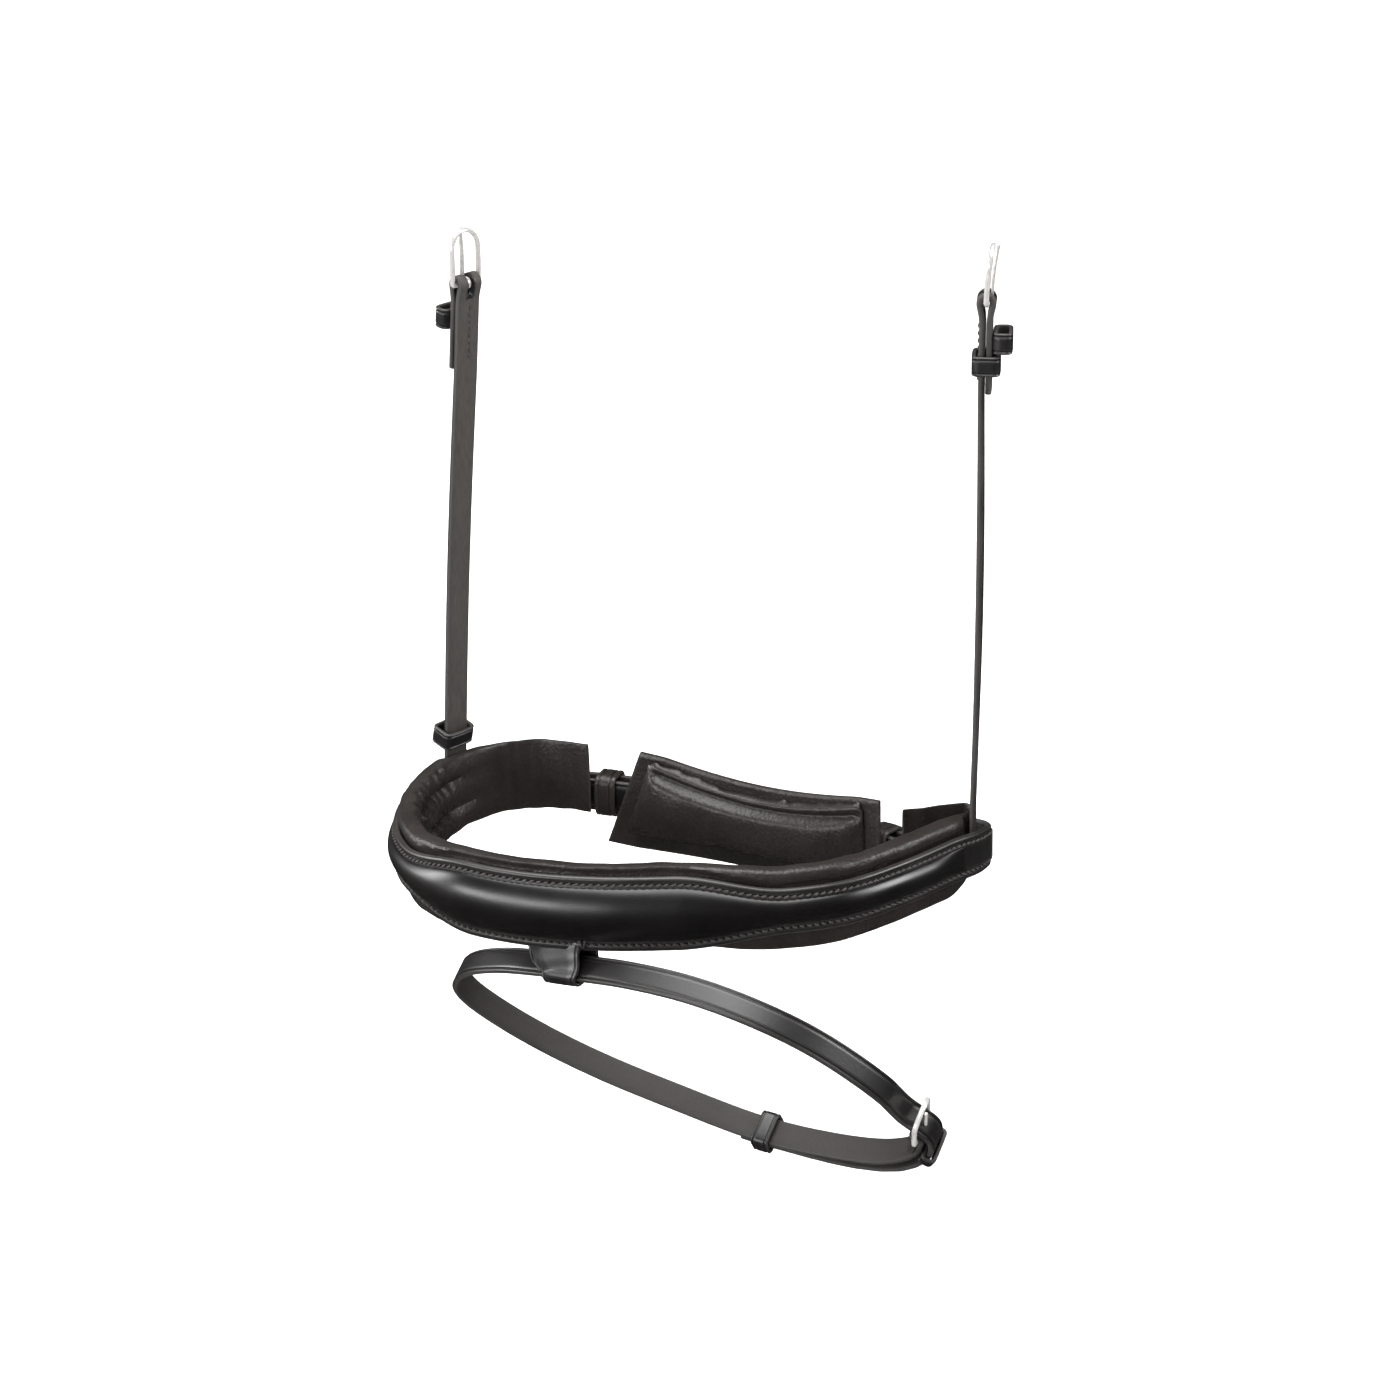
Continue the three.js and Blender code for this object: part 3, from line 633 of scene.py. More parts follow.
class NodeBoard:
    """A material's node tree with short ways to add and wire nodes."""

    def __init__(self, name: str) -> None:
        """Starts a material with just its surface shader.

        Args:
            name: of the material.
        """
        self.material = bpy.data.materials.new(name)
        self.material.use_nodes = True
        self.tree = self.material.node_tree
        self.shader = self.tree.nodes["Principled BSDF"]

    def add(self, kind: str, **inputs: object) -> bpy.types.Node:
        """Adds a node.

        Args:
            kind: Blender's name for it.
            **inputs: a value or a socket for each named input, with _ for a space.

        Returns:
            The node.
        """
        node = self.tree.nodes.new(kind)
        for key, value in inputs.items():
            self.feed(node.inputs[key.replace("_", " ")], value)
        return node

    def feed(self, socket: bpy.types.NodeSocket, value: object) -> None:
        """Fills a socket.

        Args:
            socket: to fill.
            value: a plain value, or another socket to link.
        """
        if isinstance(value, bpy.types.NodeSocket):
            self.tree.links.new(value, socket)
        else:
            socket.default_value = value

    def place(self) -> bpy.types.NodeSocket:
        """The shaded point in the piece's own frame."""
        return self.add("ShaderNodeTexCoord").outputs["Object"]

    def noise(self, where: bpy.types.NodeSocket, scale: float, detail: float = 3) -> bpy.types.NodeSocket:
        """Cloudy variation at that scale per metre."""
        node = self.add("ShaderNodeTexNoise", Vector=where, Scale=scale, Detail=detail)
        return node.outputs["Fac"]

    def ramp(
        self,
        value: bpy.types.NodeSocket,
        low: float,
        high: float,
        start: float = 0,
        end: float = 1,
    ) -> bpy.types.NodeSocket:
        """Moves a number from one range to another.

        Args:
            value: the number.
            low: of the range that it comes from.
            high: of the range that it comes from.
            start: what low becomes.
            end: what high becomes.

        Returns:
            The moved number.
        """
        ends = {"From_Min": low, "From_Max": high, "To_Min": start, "To_Max": end}
        return self.add("ShaderNodeMapRange", Value=value, **ends).outputs["Result"]

    def math(self, operation: str, a: object, b: object) -> bpy.types.NodeSocket:
        """Combines two numbers.

        Args:
            operation: Blender's name for it.
            a: first number or socket.
            b: second number or socket.

        Returns:
            The result.
        """
        node = self.tree.nodes.new("ShaderNodeMath")
        node.operation = operation
        self.feed(node.inputs[0], a)
        self.feed(node.inputs[1], b)
        return node.outputs[0]

    def blend(self, share: object, a: object, b: object) -> bpy.types.NodeSocket:
        """Mixes two colours.

        Args:
            share: of the second colour.
            a: first colour.
            b: second colour.

        Returns:
            The mixed colour.
        """
        node = self.tree.nodes.new("ShaderNodeMix")
        node.data_type = "RGBA"
        self.feed(node.inputs[0], share)
        self.feed(node.inputs[6], a)
        self.feed(node.inputs[7], b)
        return node.outputs[2]

    def mark(self, key: str) -> bpy.types.NodeSocket:
        """Reads the numbers that a mesh carries.

        Args:
            key: their name.

        Returns:
            The number at the shaded point.
        """
        node = self.tree.nodes.new("ShaderNodeAttribute")
        node.attribute_name = key
        return node.outputs["Fac"]

    def bump(self, height: bpy.types.NodeSocket, distance: float, strength: float = 1.0) -> None:
        """Raises the surface's normals by the height."""
        node = self.add("ShaderNodeBump", Height=height, Distance=distance, Strength=strength)
        self.tree.links.new(node.outputs["Normal"], self.shader.inputs["Normal"])


Colour = tuple[float, float, float]


class Slot(Enum):
    """The record's material slots."""

    SMOOTH = "smooth_leather"
    STRAP = "strap_leather"
    SOFT = "soft_leather"
    NICKEL = "nickel"


@dataclass(frozen=True)
class LeatherFinish:
    """Black leather: pebbled grain, uneven dye, rubbed edges with painted highlights on the crease
    ridges, and an unpolished inner face.

    Args:
        name: of the material.
        slot: of the record; not used.
        dye: main colour.
        rubbed_and_sheen: lighter colour of rubbed edges, also put on crease ridges as a painted
            highlight.
        inner: colour of the unpolished face.
        roughness: of the grain side.
        pebble: size of a pebble of the grain, in metres.
        relief: height of the grain, in metres.
        specular: strength of its reflections.
    """

    name: str
    slot: Slot
    dye: Colour
    rubbed_and_sheen: Colour
    inner: Colour
    roughness: float
    pebble: float
    relief: float
    specular: float

    def make(self) -> bpy.types.Material:
        """Builds the material's nodes.

        Returns:
            The material.
        """
        board = NodeBoard(self.name)
        shader = board.shader
        where = board.place()
        cloud = board.noise(where, 38, 4)
        fine = board.noise(where, 900, 3)
        flesh = board.mark("flesh")
        # Lighter colour on rubbed edges as wear, and on crease ridges as a painted highlight.
        wear_and_sheen = board.math("MULTIPLY", board.mark("wear_and_sheen"), board.ramp(cloud, 0.3, 0.7, 0.35, 1.0))

        darker = tuple(c * 0.72 for c in self.dye)
        dyed = board.blend(board.ramp(cloud, 0.35, 0.65), (*darker, 1), (*self.dye, 1))
        fibres = board.add("ShaderNodeMapping", Vector=where, Scale=(1400.0, 1400.0, 90.0)).outputs[0]
        fibre = board.noise(fibres, 1.0, 2)
        shaded = tuple(c * 0.7 for c in self.inner)
        raw = board.blend(board.ramp(fibre, 0.35, 0.65), (*shaded, 1), (*self.inner, 1))
        faced = board.blend(flesh, dyed, raw)
        board.feed(shader.inputs["Base Color"], board.blend(wear_and_sheen, faced, (*self.rubbed_and_sheen, 1)))

        gloss = board.ramp(cloud, 0.3, 0.7, self.roughness - 0.03, self.roughness + 0.05)
        rough = min(0.05, self.relief * 300)
        gloss = board.math("ADD", gloss, board.ramp(fine, 0.3, 0.7, -rough, rough))
        dull = board.math("MULTIPLY", flesh, 0.3)
        board.feed(shader.inputs["Roughness"], board.math("ADD", gloss, dull))
        shader.inputs["Specular IOR Level"].default_value = self.specular
        shader.inputs["Sheen Weight"].default_value = 0.015
        shader.inputs["Sheen Roughness"].default_value = 0.5

        pebbles = board.add("ShaderNodeTexVoronoi", Vector=where, Scale=1 / self.pebble)
        pebbles.feature = "SMOOTH_F1"
        bumpy = board.math("MULTIPLY", pebbles.outputs["Distance"], -0.8)
        height = board.math("ADD", bumpy, board.math("MULTIPLY", fine, 0.5))
        height = board.math("ADD", height, board.math("MULTIPLY", cloud, 0.35))
        board.bump(height, self.relief)
        return board.material


@dataclass(frozen=True)
class NickelFinish:
    """Bright nickel plate with fine scratches and duller patches.

    Args:
        name: of the material.
        slot: of the record; not used.
        plate: main colour.
        tarnish: colour of the duller patches, spread by noise.
    """

    name: str = "nickel_plate"
    slot: Slot = Slot.NICKEL
    plate: Colour = (0.74, 0.72, 0.70)
    tarnish: Colour = (0.50, 0.47, 0.43)

    def make(self) -> bpy.types.Material:
        """Builds the material's nodes.

        Returns:
            The material.
        """
        board = NodeBoard(self.name)
        where = board.place()
        cloud = board.noise(where, 220, 4)
        lines = board.add("ShaderNodeMapping", Vector=where, Scale=(2600.0, 500.0, 500.0)).outputs[0]
        scratch = board.noise(lines, 1.0, 2)
        colour = board.blend(board.ramp(cloud, 0.55, 0.8), (*self.plate, 1), (*self.tarnish, 1))
        board.feed(board.shader.inputs["Base Color"], colour)
        board.feed(board.shader.inputs["Roughness"], board.ramp(scratch, 0.3, 0.7, 0.09, 0.22))
        board.shader.inputs["Metallic"].default_value = 0.6
        board.bump(scratch, 0.00002)
        return board.material


@dataclass(frozen=True)
class ThreadFinish:
    """Waxed black thread, laid in two twisted plies, with painted shade between the plies and painted
    light on their crowns.

    Args:
        name: of the material.
        slot: of the record; not used.
        dye: colour between the plies, painted shade there; the crowns get 1.9 times this colour as
            painted light.
    """

    name: str = "waxed_thread"
    slot: Slot = Slot.STRAP
    dye: Colour = (0.026, 0.0225, 0.0220)

    def make(self) -> bpy.types.Material:
        """Builds the material's nodes.

        Returns:
            The material.
        """
        board = NodeBoard(self.name)
        where = board.place()
        twist = board.add("ShaderNodeTexWave", Vector=where, Scale=900.0, Distortion=1.5)
        twist.bands_direction = "DIAGONAL"
        # Painted light and shade of the twist: darker between the plies, 1.9 times lighter on their
        # crowns.
        painted_ply_light = tuple(c * 1.9 for c in self.dye)
        colour = board.blend(twist.outputs["Fac"], (*self.dye, 1), (*painted_ply_light, 1))
        board.feed(board.shader.inputs["Base Color"], colour)
        board.feed(board.shader.inputs["Roughness"], board.ramp(twist.outputs["Fac"], 0, 1, 0.36, 0.55))
        board.bump(twist.outputs["Fac"], 0.00008)
        return board.material


@dataclass(frozen=True)
class Finishes:
    """Every finish of the noseband.

    Args:
        polished: of the raised panel.
        bridle: of the straps and loops.
        key_lit_bridle: of the cheek straps; a lit copy of the bridle, its inner face painted paler as
            painted light from the key light.
        lining: of the soft lining and the jaw pad.
        nickel: of the buckles and rings.
        thread: of the stitching.
    """

    polished: LeatherFinish = LeatherFinish(
        name="polished_leather",
        slot=Slot.SMOOTH,
        dye=(0.0030, 0.0022, 0.0022),
        rubbed_and_sheen=(0.012, 0.010, 0.009),
        inner=(0.012, 0.010, 0.009),
        roughness=0.31,
        pebble=0.0012,
        relief=0.000012,
        specular=0.62,
    )
    bridle: LeatherFinish = LeatherFinish(
        name="bridle_leather",
        slot=Slot.STRAP,
        dye=(0.0062, 0.0052, 0.0052),
        rubbed_and_sheen=(0.030, 0.027, 0.026),
        inner=(0.0150, 0.0112, 0.0096),
        roughness=0.35,
        pebble=0.0012,
        relief=0.00003,
        specular=0.66,
    )
    # Lit copy of the bridle: the cheek straps' inner face is painted paler as painted light, where the
    # key light falls on it.
    key_lit_bridle: LeatherFinish = replace(
        bridle, name="lit_copy_bridle_leather", inner=(0.043, 0.037, 0.031)
    )
    lining: LeatherFinish = LeatherFinish(
        name="lining_leather",
        slot=Slot.SOFT,
        dye=(0.0140, 0.0107, 0.0092),
        rubbed_and_sheen=(0.026, 0.022, 0.019),
        inner=(0.012, 0.010, 0.009),
        roughness=0.40,
        pebble=0.0013,
        relief=0.00022,
        specular=0.50,
    )
    nickel: NickelFinish = NickelFinish()
    thread: ThreadFinish = ThreadFinish()


Finish = LeatherFinish | NickelFinish | ThreadFinish
FINISH = Finishes()
made_materials: dict[str, bpy.types.Material] = {}


def dress(piece: bpy.types.Object, finish: Finish) -> bpy.types.Object:
    """Gives a piece its finish.

    Args:
        piece: to dress.
        finish: what it is made of.

    Returns:
        The piece.
    """
    if finish.name not in made_materials:
        made_materials[finish.name] = finish.make()
    piece.data.materials.clear()
    piece.data.materials.append(made_materials[finish.name])
    return piece


def fit(piece: bpy.types.Object, finish: Finish, body: str, *nodes: str) -> bpy.types.Object:
    """Dresses a piece, rides it on its body and lets it stand for nodes of the model.

    Args:
        piece: to place.
        finish: what it is made of.
        body: that carries it.
        *nodes: that it stands for.

    Returns:
        The piece.
    """
    dress(piece, finish)
    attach(piece, body)
    if nodes:
        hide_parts(*nodes)
    log.info("%s rides on %s", piece.name, body)
    return piece


# ---------------------------------------------------------------- the nosepiece's line

# The nosepiece's outer face seen from above, from its left end round the bridge to its right
# end, divided into stations. REST is the point of the drawing that lies at the part's origin.
STATIONS = 60
NOSE_LINE = SmoothLine(
    [
        (-58, 151), (-80, 149), (-100, 137), (-110.5, 114), (-113.5, 86), (-108.5, 56), (-95, 29),
        (-76, 11), (-49, -0.5), (-18, -2.5), (14, 4), (48, 18), (80, 32), (104, 51), (119, 77),
        (130, 104), (137, 125), (135, 140), (124, 146), (111, 138), (97, 127),
    ]
)
STATION = NOSE_LINE.length / STATIONS
NOSE_STRAP = 3.0
PAD_FACE = -NOSE_STRAP - 0.35
PAD_BACK = PAD_FACE - 10.5
BRIDGE = 30.5
REST = np.array([*NOSE_LINE.offset(BRIDGE * STATION, PAD_BACK), 0.0])
CHEEK_STATIONS = (8.8, 53.2)
LINING_POINTS = 44


@dataclass(frozen=True)
class Dent:
    """Place where a piece sewn in front of the lining presses it in.

    Args:
        station: of its middle.
        half_along: half of its length, in stations.
        low: height of its lower end.
        high: height of its upper end.
        depth: how far the lining gives way.
    """

    station: float
    half_along: float
    low: float
    high: float
    depth: float

    def share(self, station: float, z: float) -> float:
        """How much of the dent shows, from 0 to 1."""
        return hump(station, self.station, self.half_along, 0.45) if self.low < z < self.high else 0.0


@dataclass
class Nosepiece:
    """Outer strap, raised panel, lining with its bare ends, and stitching.

    Args:
        middle: station of the bridge.
        half_height: half of the strap's height at the bridge.
        side_half_height: the same along the cheeks.
        end_drop: how much lower the strap's ends lie.
        panel_trim: from the strap's edge to the panel's.
        panel_bulge: how far the panel stands out at the bridge.
        pad_top: height of the lining's upper edge at the bridge.
        pad_bottom: depth of its lower edge there.
        pad_side_top: height of the upper edge along the cheeks.
        pad_side_bottom: depth of the lower edge there.
        flap_half: half of the height of the lining's bare ends.
        flap_low: depth of the left bare end's lower edge.
        flap_inside: of the strap's line, for the left and the right bare end.
        flap_thickness: of the bare ends.
        strap_span: stations of the strap's ends.
        panel_span: stations of the panel's ends.
        channel_depth: of the sewn channels in the lining.
        channel_half: half of their width.
        lip: how far the lining rolls over the strap's upper edge.
        dents: where sewn pieces press the lining.
        fine: rings to a station.
    """

    middle: float = BRIDGE
    half_height: float = 16.5
    side_half_height: float = 10.0
    end_drop: float = 5.0
    panel_trim: float = 4.6
    panel_bulge: float = 5.3
    pad_top: float = 19.5
    pad_bottom: float = 17.5
    pad_side_top: float = 17.0
    pad_side_bottom: float = 19.5
    flap_half: float = 14.5
    flap_low: float = 19.0
    flap_inside: tuple[float, float] = (9.8, 7.6)
    flap_thickness: float = 2.0
    strap_span: tuple[float, float] = (3, 57)
    panel_span: tuple[float, float] = (7.8, 51.4)
    channel_depth: float = 3.9
    channel_half: float = 1.6
    lip: float = 1.8
    dents: tuple[Dent, ...] = (
        Dent(CHEEK_STATIONS[0], 1.05, -12, 30, 4.8),
        Dent(CHEEK_STATIONS[1], 0.75, -12, 30, 3.3),
        Dent(30.2, 1.12, -30, -1.5, 3.3),
    )
    fine: int = 8

    def side(self, station: float) -> float:
        """0 at the bridge and 1 along the cheeks."""
        return ease(abs(station - self.middle), 5, 10.5)

    def end(self, station: float) -> float:
        """0 along the middle and 1 at the narrow ends."""
        return ease(abs(station - self.middle), 20, 27)

    def drop(self, station: float) -> float:
        """Height of the strap's centre line."""
        return -self.end_drop * self.end(station)

    def strap_half(self, station: float) -> float:
        """Half of the strap's height."""
        half = mix(self.half_height, self.side_half_height, self.side(station))
        return half * (1 - 0.12 * self.end(station))

    def frames(self, stations: Array) -> tuple[Array, Array, Array]:
        """Centres and directions at those stations.

        Args:
            stations: places along the line.

        Returns:
            Points, outward directions and upward directions.
        """
        path = np.array([NOSE_LINE.at(s * STATION) for s in stations])
        headings = np.array([NOSE_LINE.heading(s * STATION) for s in stations])
        outs = np.column_stack([headings[:, 1], -headings[:, 0], np.zeros(len(stations))])
        centres = np.column_stack([path, np.zeros(len(stations))]) - REST
        return centres, outs, np.tile(UP, (len(stations), 1))

    def span(self, start: float, end: float) -> Array:
        """Fine stations from start to end."""
        return np.linspace(start, end, int((end - start) * self.fine) + 1)

    def build_strap(self) -> None:
        """The outer strap, with a rounded margin outside its stitching."""
        stations = self.span(*self.strap_span)
        profiles = []
        for s in stations:
            profile = strap_profile(
                NOSE_STRAP,
                self.strap_half(s),
                crease=3.1,
                depth=0.5,
                round_edge=1.2,
                middle=-NOSE_STRAP / 2,
            )
            profile.points[:, 1] += self.drop(s)
            profiles.append(profile)
        strap = sweep("nosepiece_strap", *self.frames(stations), profiles)
        fit(strap, FINISH.bridle, "noseband", "nose_strap")

    def panel_front(self, station: float, across: float) -> float:
        """How far the raised panel stands out of the strap's face.

        Args:
            station: place along the nosepiece.
            across: -1 at the panel's lower edge, 1 at its upper edge.

        Returns:
            The offset from the strap's face.
        """
        start, stop = self.panel_span
        rise = ease(min(station - start, stop - station), 0, 2.4)
        bulge = self.panel_bulge * mix(1, 0.5, self.side(station)) * mix(0.25, 1, rise)
        return 0.15 + bulge * (1 - across**2) ** 0.8

    def build_panel(self) -> None:
        """The convex polished panel over the filler."""
        stations = self.span(*self.panel_span)
        rows = np.sin(np.linspace(-math.pi / 2, math.pi / 2, 33))
        profiles = []
        for s in stations:
            half = self.strap_half(s) - self.panel_trim
            front = [(self.panel_front(s, y), y * half + self.drop(s)) for y in rows]
            back = [(-0.4, y * half + self.drop(s)) for y in (1, 0.5, 0, -0.5, -1)]
            pts = np.array(front + back)
            profiles.append(Profile(pts, np.zeros(len(pts)), np.zeros(len(pts))))
        panel = sweep("raised_panel", *self.frames(stations), profiles, round_end=1.6)
        fit(panel, FINISH.polished, "noseband", "nose_raised_panel")

    def build_stitching(self) -> None:
        """A row of stitches above and below the panel."""
        stations = self.span(self.strap_span[0] + 2.2, self.strap_span[1] - 2.2)
        centres, outs, _ = self.frames(stations)
        for name, side in (("upper", 1), ("lower", -1)):
            heights = [side * (self.strap_half(s) - 3.2) + self.drop(s) for s in stations]
            line = centres + outs * 0.02
            line[:, 2] = heights
            row = stitch_row(f"{name}_stitching", line, outs, 16 * side)
            fit(row, FINISH.thread, "noseband")

    def lip_roll(self, station: float, z: float) -> float:
        """How far the lining rolls forward over the strap's upper edge.

        Args:
            station: place along the nosepiece.
            z: height.

        Returns:
            The distance outward.
        """
        strap_top = self.strap_half(station) + self.drop(station)
        above = z - strap_top - 0.8
        if above <= 0:
            return 0.0
        roll = min(above * 0.9, self.lip) * hump(z, strap_top + 3.5, 2.5, 3)
        for seam in CHEEK_STATIONS:
            roll *= 1 - hump(station, seam, 0.9, 0.5)
        return roll

    def crinkle(self, station: float, z: float, stuffed: float, inner: bool) -> float:
        """Gathers and ripples of the lining, deepest where it bends round the left cheek.

        Args:
            station: place along the nosepiece.
            z: height.
            stuffed: 1 on the padded length and 0 on the bare ends.
            inner: whether the point is on the face that touches the horse.

        Returns:
            The distance outward.
        """
        bend = hump(station, 14.2, 2.2, 2.6) + 0.5 * hump(station, 46, 1.5, 3)
        gathers = bend * 2.0 * wobble(station * 1.9, z * 0.07, 3.7) * (1.0 if inner else 0.25)
        ripples = 0.7 * stuffed * wobble(station * 0.8, z * 0.13, 8.1)
        ripples += 1.5 * (1 - stuffed) * wobble(station * 1.1, z * 0.03, 1.3)
        return (gathers + ripples) * (1 if inner else 0.5)

    def lining_profile(self, station: float) -> Profile:
        """Outline of the lining: three stuffed rolls with sewn channels, flat at the ends.

        Args:
            station: place along the nosepiece.

        Returns:
            The outline there.
        """
        on_left, to_end = station < self.middle, STATIONS - station
        stuffed = min(ease(station, 4.6, 9.6), ease(to_end, 6.0, 9.2))
        inside = self.flap_inside[0 if on_left else 1]
        narrowed = 1 - 0.08 * self.end(station)
        top = mix(self.pad_top, self.pad_side_top, self.side(station)) * narrowed
        bottom = mix(self.pad_bottom, self.pad_side_bottom, self.side(station)) * narrowed
        top = mix(self.flap_half, top, stuffed)
        bottom = mix(self.flap_low if on_left else self.flap_half, bottom, stuffed)
        channel = self.channel_depth * min(ease(station, 5.0, 14.0), ease(to_end, 6.0, 13.0))
        face = mix(-inside, PAD_FACE, stuffed)
        back = mix(-inside - self.flap_thickness, PAD_BACK + 1.4, stuffed)
        outline, wear_and_sheen = [], []
        for k in range(LINING_POINTS):
            a = 2 * math.pi * (k + 0.5) / LINING_POINTS
            c, s = math.cos(a), math.sin(a)
            z = np.sign(s) * abs(s) ** 0.62
            z = z * (top if z > 0 else bottom)
            x = mix(back, face, (np.sign(c) * abs(c) ** 0.62 + 1) / 2)
            inner = c < 0
            if inner:
                for groove in (0.42 * top, -0.38 * bottom):
                    x += channel * math.exp(-(((z - groove) / self.channel_half) ** 2))
            else:
                for dent in self.dents:
                    x = min(x, mix(x, PAD_FACE - dent.depth, dent.share(station, z)))
                if stuffed > 0.2:
                    x += self.lip_roll(station, z) * stuffed
            x += self.crinkle(station, z, stuffed, inner)
            z += 0.6 * wobble(station * 0.5, 5.0, float(s > 0) * 9) * abs(s)
            outline.append((x, z))
            wear_and_sheen.append(0.25 if abs(s) > 0.97 else 0.0)
        return Profile(np.array(outline), np.array(wear_and_sheen), np.zeros(LINING_POINTS))

    def build_lining(self) -> None:
        """The soft lining, one piece from bare end to bare end."""
        stations = self.span(0.05, STATIONS - 0.05)
        lining = sweep("lining", *self.frames(stations), [self.lining_profile(s) for s in stations])
        fit(lining, FINISH.lining, "noseband", "nose_pad", "left_end_flap", "right_end_flap")

    def build(self) -> None:
        """Builds every layer of the nosepiece."""
        self.build_strap()
        self.build_panel()
        self.build_stitching()
        self.build_lining()


# ---------------------------------------------------------------- buckles and loops


def wire_loop(name: str, place: Place, path: Array, profile: Profile) -> bpy.types.Object:
    """Closed loop of wire.

    Args:
        name: of the piece.
        place: of the loop; the path lies in its along-across plane.
        path: points as (along, across).
        profile: section, first number out of the plane and second in it.

    Returns:
        The piece.
    """
    heading = tangents(path, closed=True)
    zeros = np.zeros(len(path))
    centres = np.column_stack([zeros, path])
    outs = np.tile([1.0, 0.0, 0.0], (len(path), 1))
    sides = np.column_stack([zeros, heading[:, 1], -heading[:, 0]])
    return sweep(name, *placed_frames(place, centres, outs, sides), profile, closed=True)


def rounded(half_x: float, half_y: float, r: float, steps: int = 6, fill: int = 4) -> Array:
    """Closed rounded rectangle about 0.

    Args:
        half_x: half of its first side.
        half_y: half of its second side.
        r: radius of its corners.
        steps: along each corner.
        fill: steps along each straight side.

    Returns:
        The points, counter-clockwise.
    """
    x, y = half_x - r, half_y - r
    pts: list[Array] = []
    for quarter, corner in enumerate(((x, y), (-x, y), (-x, -y), (x, -y))):
        new = arc(np.array(corner), r, 90 * quarter, 90 * (quarter + 1), steps)
        if pts:
            pts += [mix(pts[-1], new[0], k / fill) for k in range(1, fill)]
        pts += new
    pts += [mix(pts[-1], pts[0], k / fill) for k in range(1, fill)]
    return np.array(pts)


@dataclass
class LeatherLoop:
    """Keeper or runner: a strip of leather bent round the strap.

    Args:
        x: inner faces out of the strap, low and high.
        half: inner half-width across the strap.
        wall: thickness of the strip.
        wide: width along the strap.
        crease: distance of the pressed crease from the strip's edges.
        corner: inner radius of its bends.
    """

    x: tuple[float, float]
    half: float
    wall: float = 1.7
    wide: float = 8.0
    crease: float = 1.3
    corner: float = 1.6

    def build(self, name: str, place: Place, sag: float = 0.25) -> bpy.types.Object:
        """Builds the loop.

        Args:
            name: of the piece.
            place: where it sits on the strap.
            sag: how much its walls bow.

        Returns:
            The piece.
        """
        middle = sum(self.x) / 2
        half_x = (self.x[1] - self.x[0]) / 2 + self.wall / 2
        half_z = self.half + self.wall / 2
        path = rounded(half_x, half_z, self.corner + self.wall / 2 - 0.4, 7, 6)
        bow = sag * np.cos(path[:, 1] / half_z * math.pi / 2)
        path[:, 0] += np.sign(path[:, 0]) * bow
        heading = tangents(path, closed=True)
        zeros = np.zeros(len(path))
        centres = np.column_stack([path[:, 0] + middle, zeros, path[:, 1]])
        outs = np.column_stack([heading[:, 1], zeros, -heading[:, 0]])
        sides = np.tile([0.0, 1.0, 0.0], (len(path), 1))
        profile = strap_profile(self.wall, self.wide / 2, self.crease, 0.36, 0.6)
        return sweep(name, *placed_frames(place, centres, outs, sides), profile, closed=True)


@dataclass
class Buckle:
    """Rounded wire frame and its tongue, from the bar to the far end.

    Args:
        half: half of the frame's width.
        length: from the bar to the far end.
        roundness: of the far end, as a share of half; 1 is a half circle.
        wire: thickness of the wire.
        lift: of the tongue above the frame.
        curve: how far the far end leans out of the buckle's plane.
        eye: radius of the tongue's curl round the bar.
    """

    half: float
    length: float
    roundness: float
    wire: float = 2.2
    lift: float = 0.35
    curve: float = 0.0
    eye: float = 2.35

    def bent(self, piece: bpy.types.Object, place: Place) -> bpy.types.Object:
        """Leans the far end of a piece out of the buckle's plane.

        Args:
            piece: frame or tongue.
            place: of the bar.

        Returns:
            The piece.
        """
        if self.curve == 0:
            return piece
        for vertex in piece.data.vertices:
            reach = (np.array(vertex.co) / MM - place.origin).dot(place.along) / self.length
            vertex.co += Vector(place.out * MM * self.curve * max(reach, 0.0) ** 2)
        return piece

    def frame_path(self) -> Array:
        """Centre line of the wire.

        Returns:
            Its points as (along, across).
        """
        half = self.half - self.wire * 0.4
        far = self.length - self.wire * 0.45
        r = self.half * self.roundness
        turn = np.radians(np.linspace(-90, 90, 19))
        sides = np.linspace(1.2, far - r - 0.4, 6)
        low = [(y, -half) for y in sides]
        high = [(y, half) for y in sides[::-1]]
        end = [(far - r + r * math.cos(a), half * math.sin(a)) for a in turn]
        foot = [tuple(p) for p in arc(np.array([1.0, half - 1.0]), 1.0, 90, 180, 4)]
        other = [tuple(p) for p in arc(np.array([1.0, -half + 1.0]), 1.0, 180, 270, 4)]
        bar = [(0.0, z) for z in np.linspace(half - 1.6, -half + 1.6, 7)]
        return np.array(low + end + high + foot + bar + other)

    def build_frame(self, name: str, place: Place) -> bpy.types.Object:
        """The wire frame."""
        section = wire_profile(self.wire / 2, self.wire * 0.43, 16, 0.86)
        return self.bent(wire_loop(name, place, self.frame_path(), section), place)

    def build_tongue(self, name: str, place: Place) -> bpy.types.Object:
        """The tongue: an eye curled round the bar and a shank that narrows to its tip.

        Args:
            name: of the piece.
            place: of the bar.

        Returns:
            The piece.
        """
        rest = self.wire / 2 + self.lift + 0.7
        curl = [polar(np.zeros(2), self.eye, a) for a in np.linspace(285, 15, 20)]
        shank = [np.array([rest, y]) for y in np.linspace(2.6, self.length - 0.2, 14)]
        path = resample(curl + shank, 0.6)
        profiles = []
        for t in np.linspace(0, 1, len(path)):
            half_thick = 0.52 + 0.16 * ease(t, 0.3, 0.6)
            half_wide = mix(1.12, 0.74, ease(t, 0.55, 1))
            profiles.append(wire_profile(half_thick, half_wide, 12))
        pin = sweep(name, *placed_frames(place, *flat_frames(path)), profiles, round_end=0.5)
        return self.bent(pin, place)


# ---------------------------------------------------------------- cheek hangers


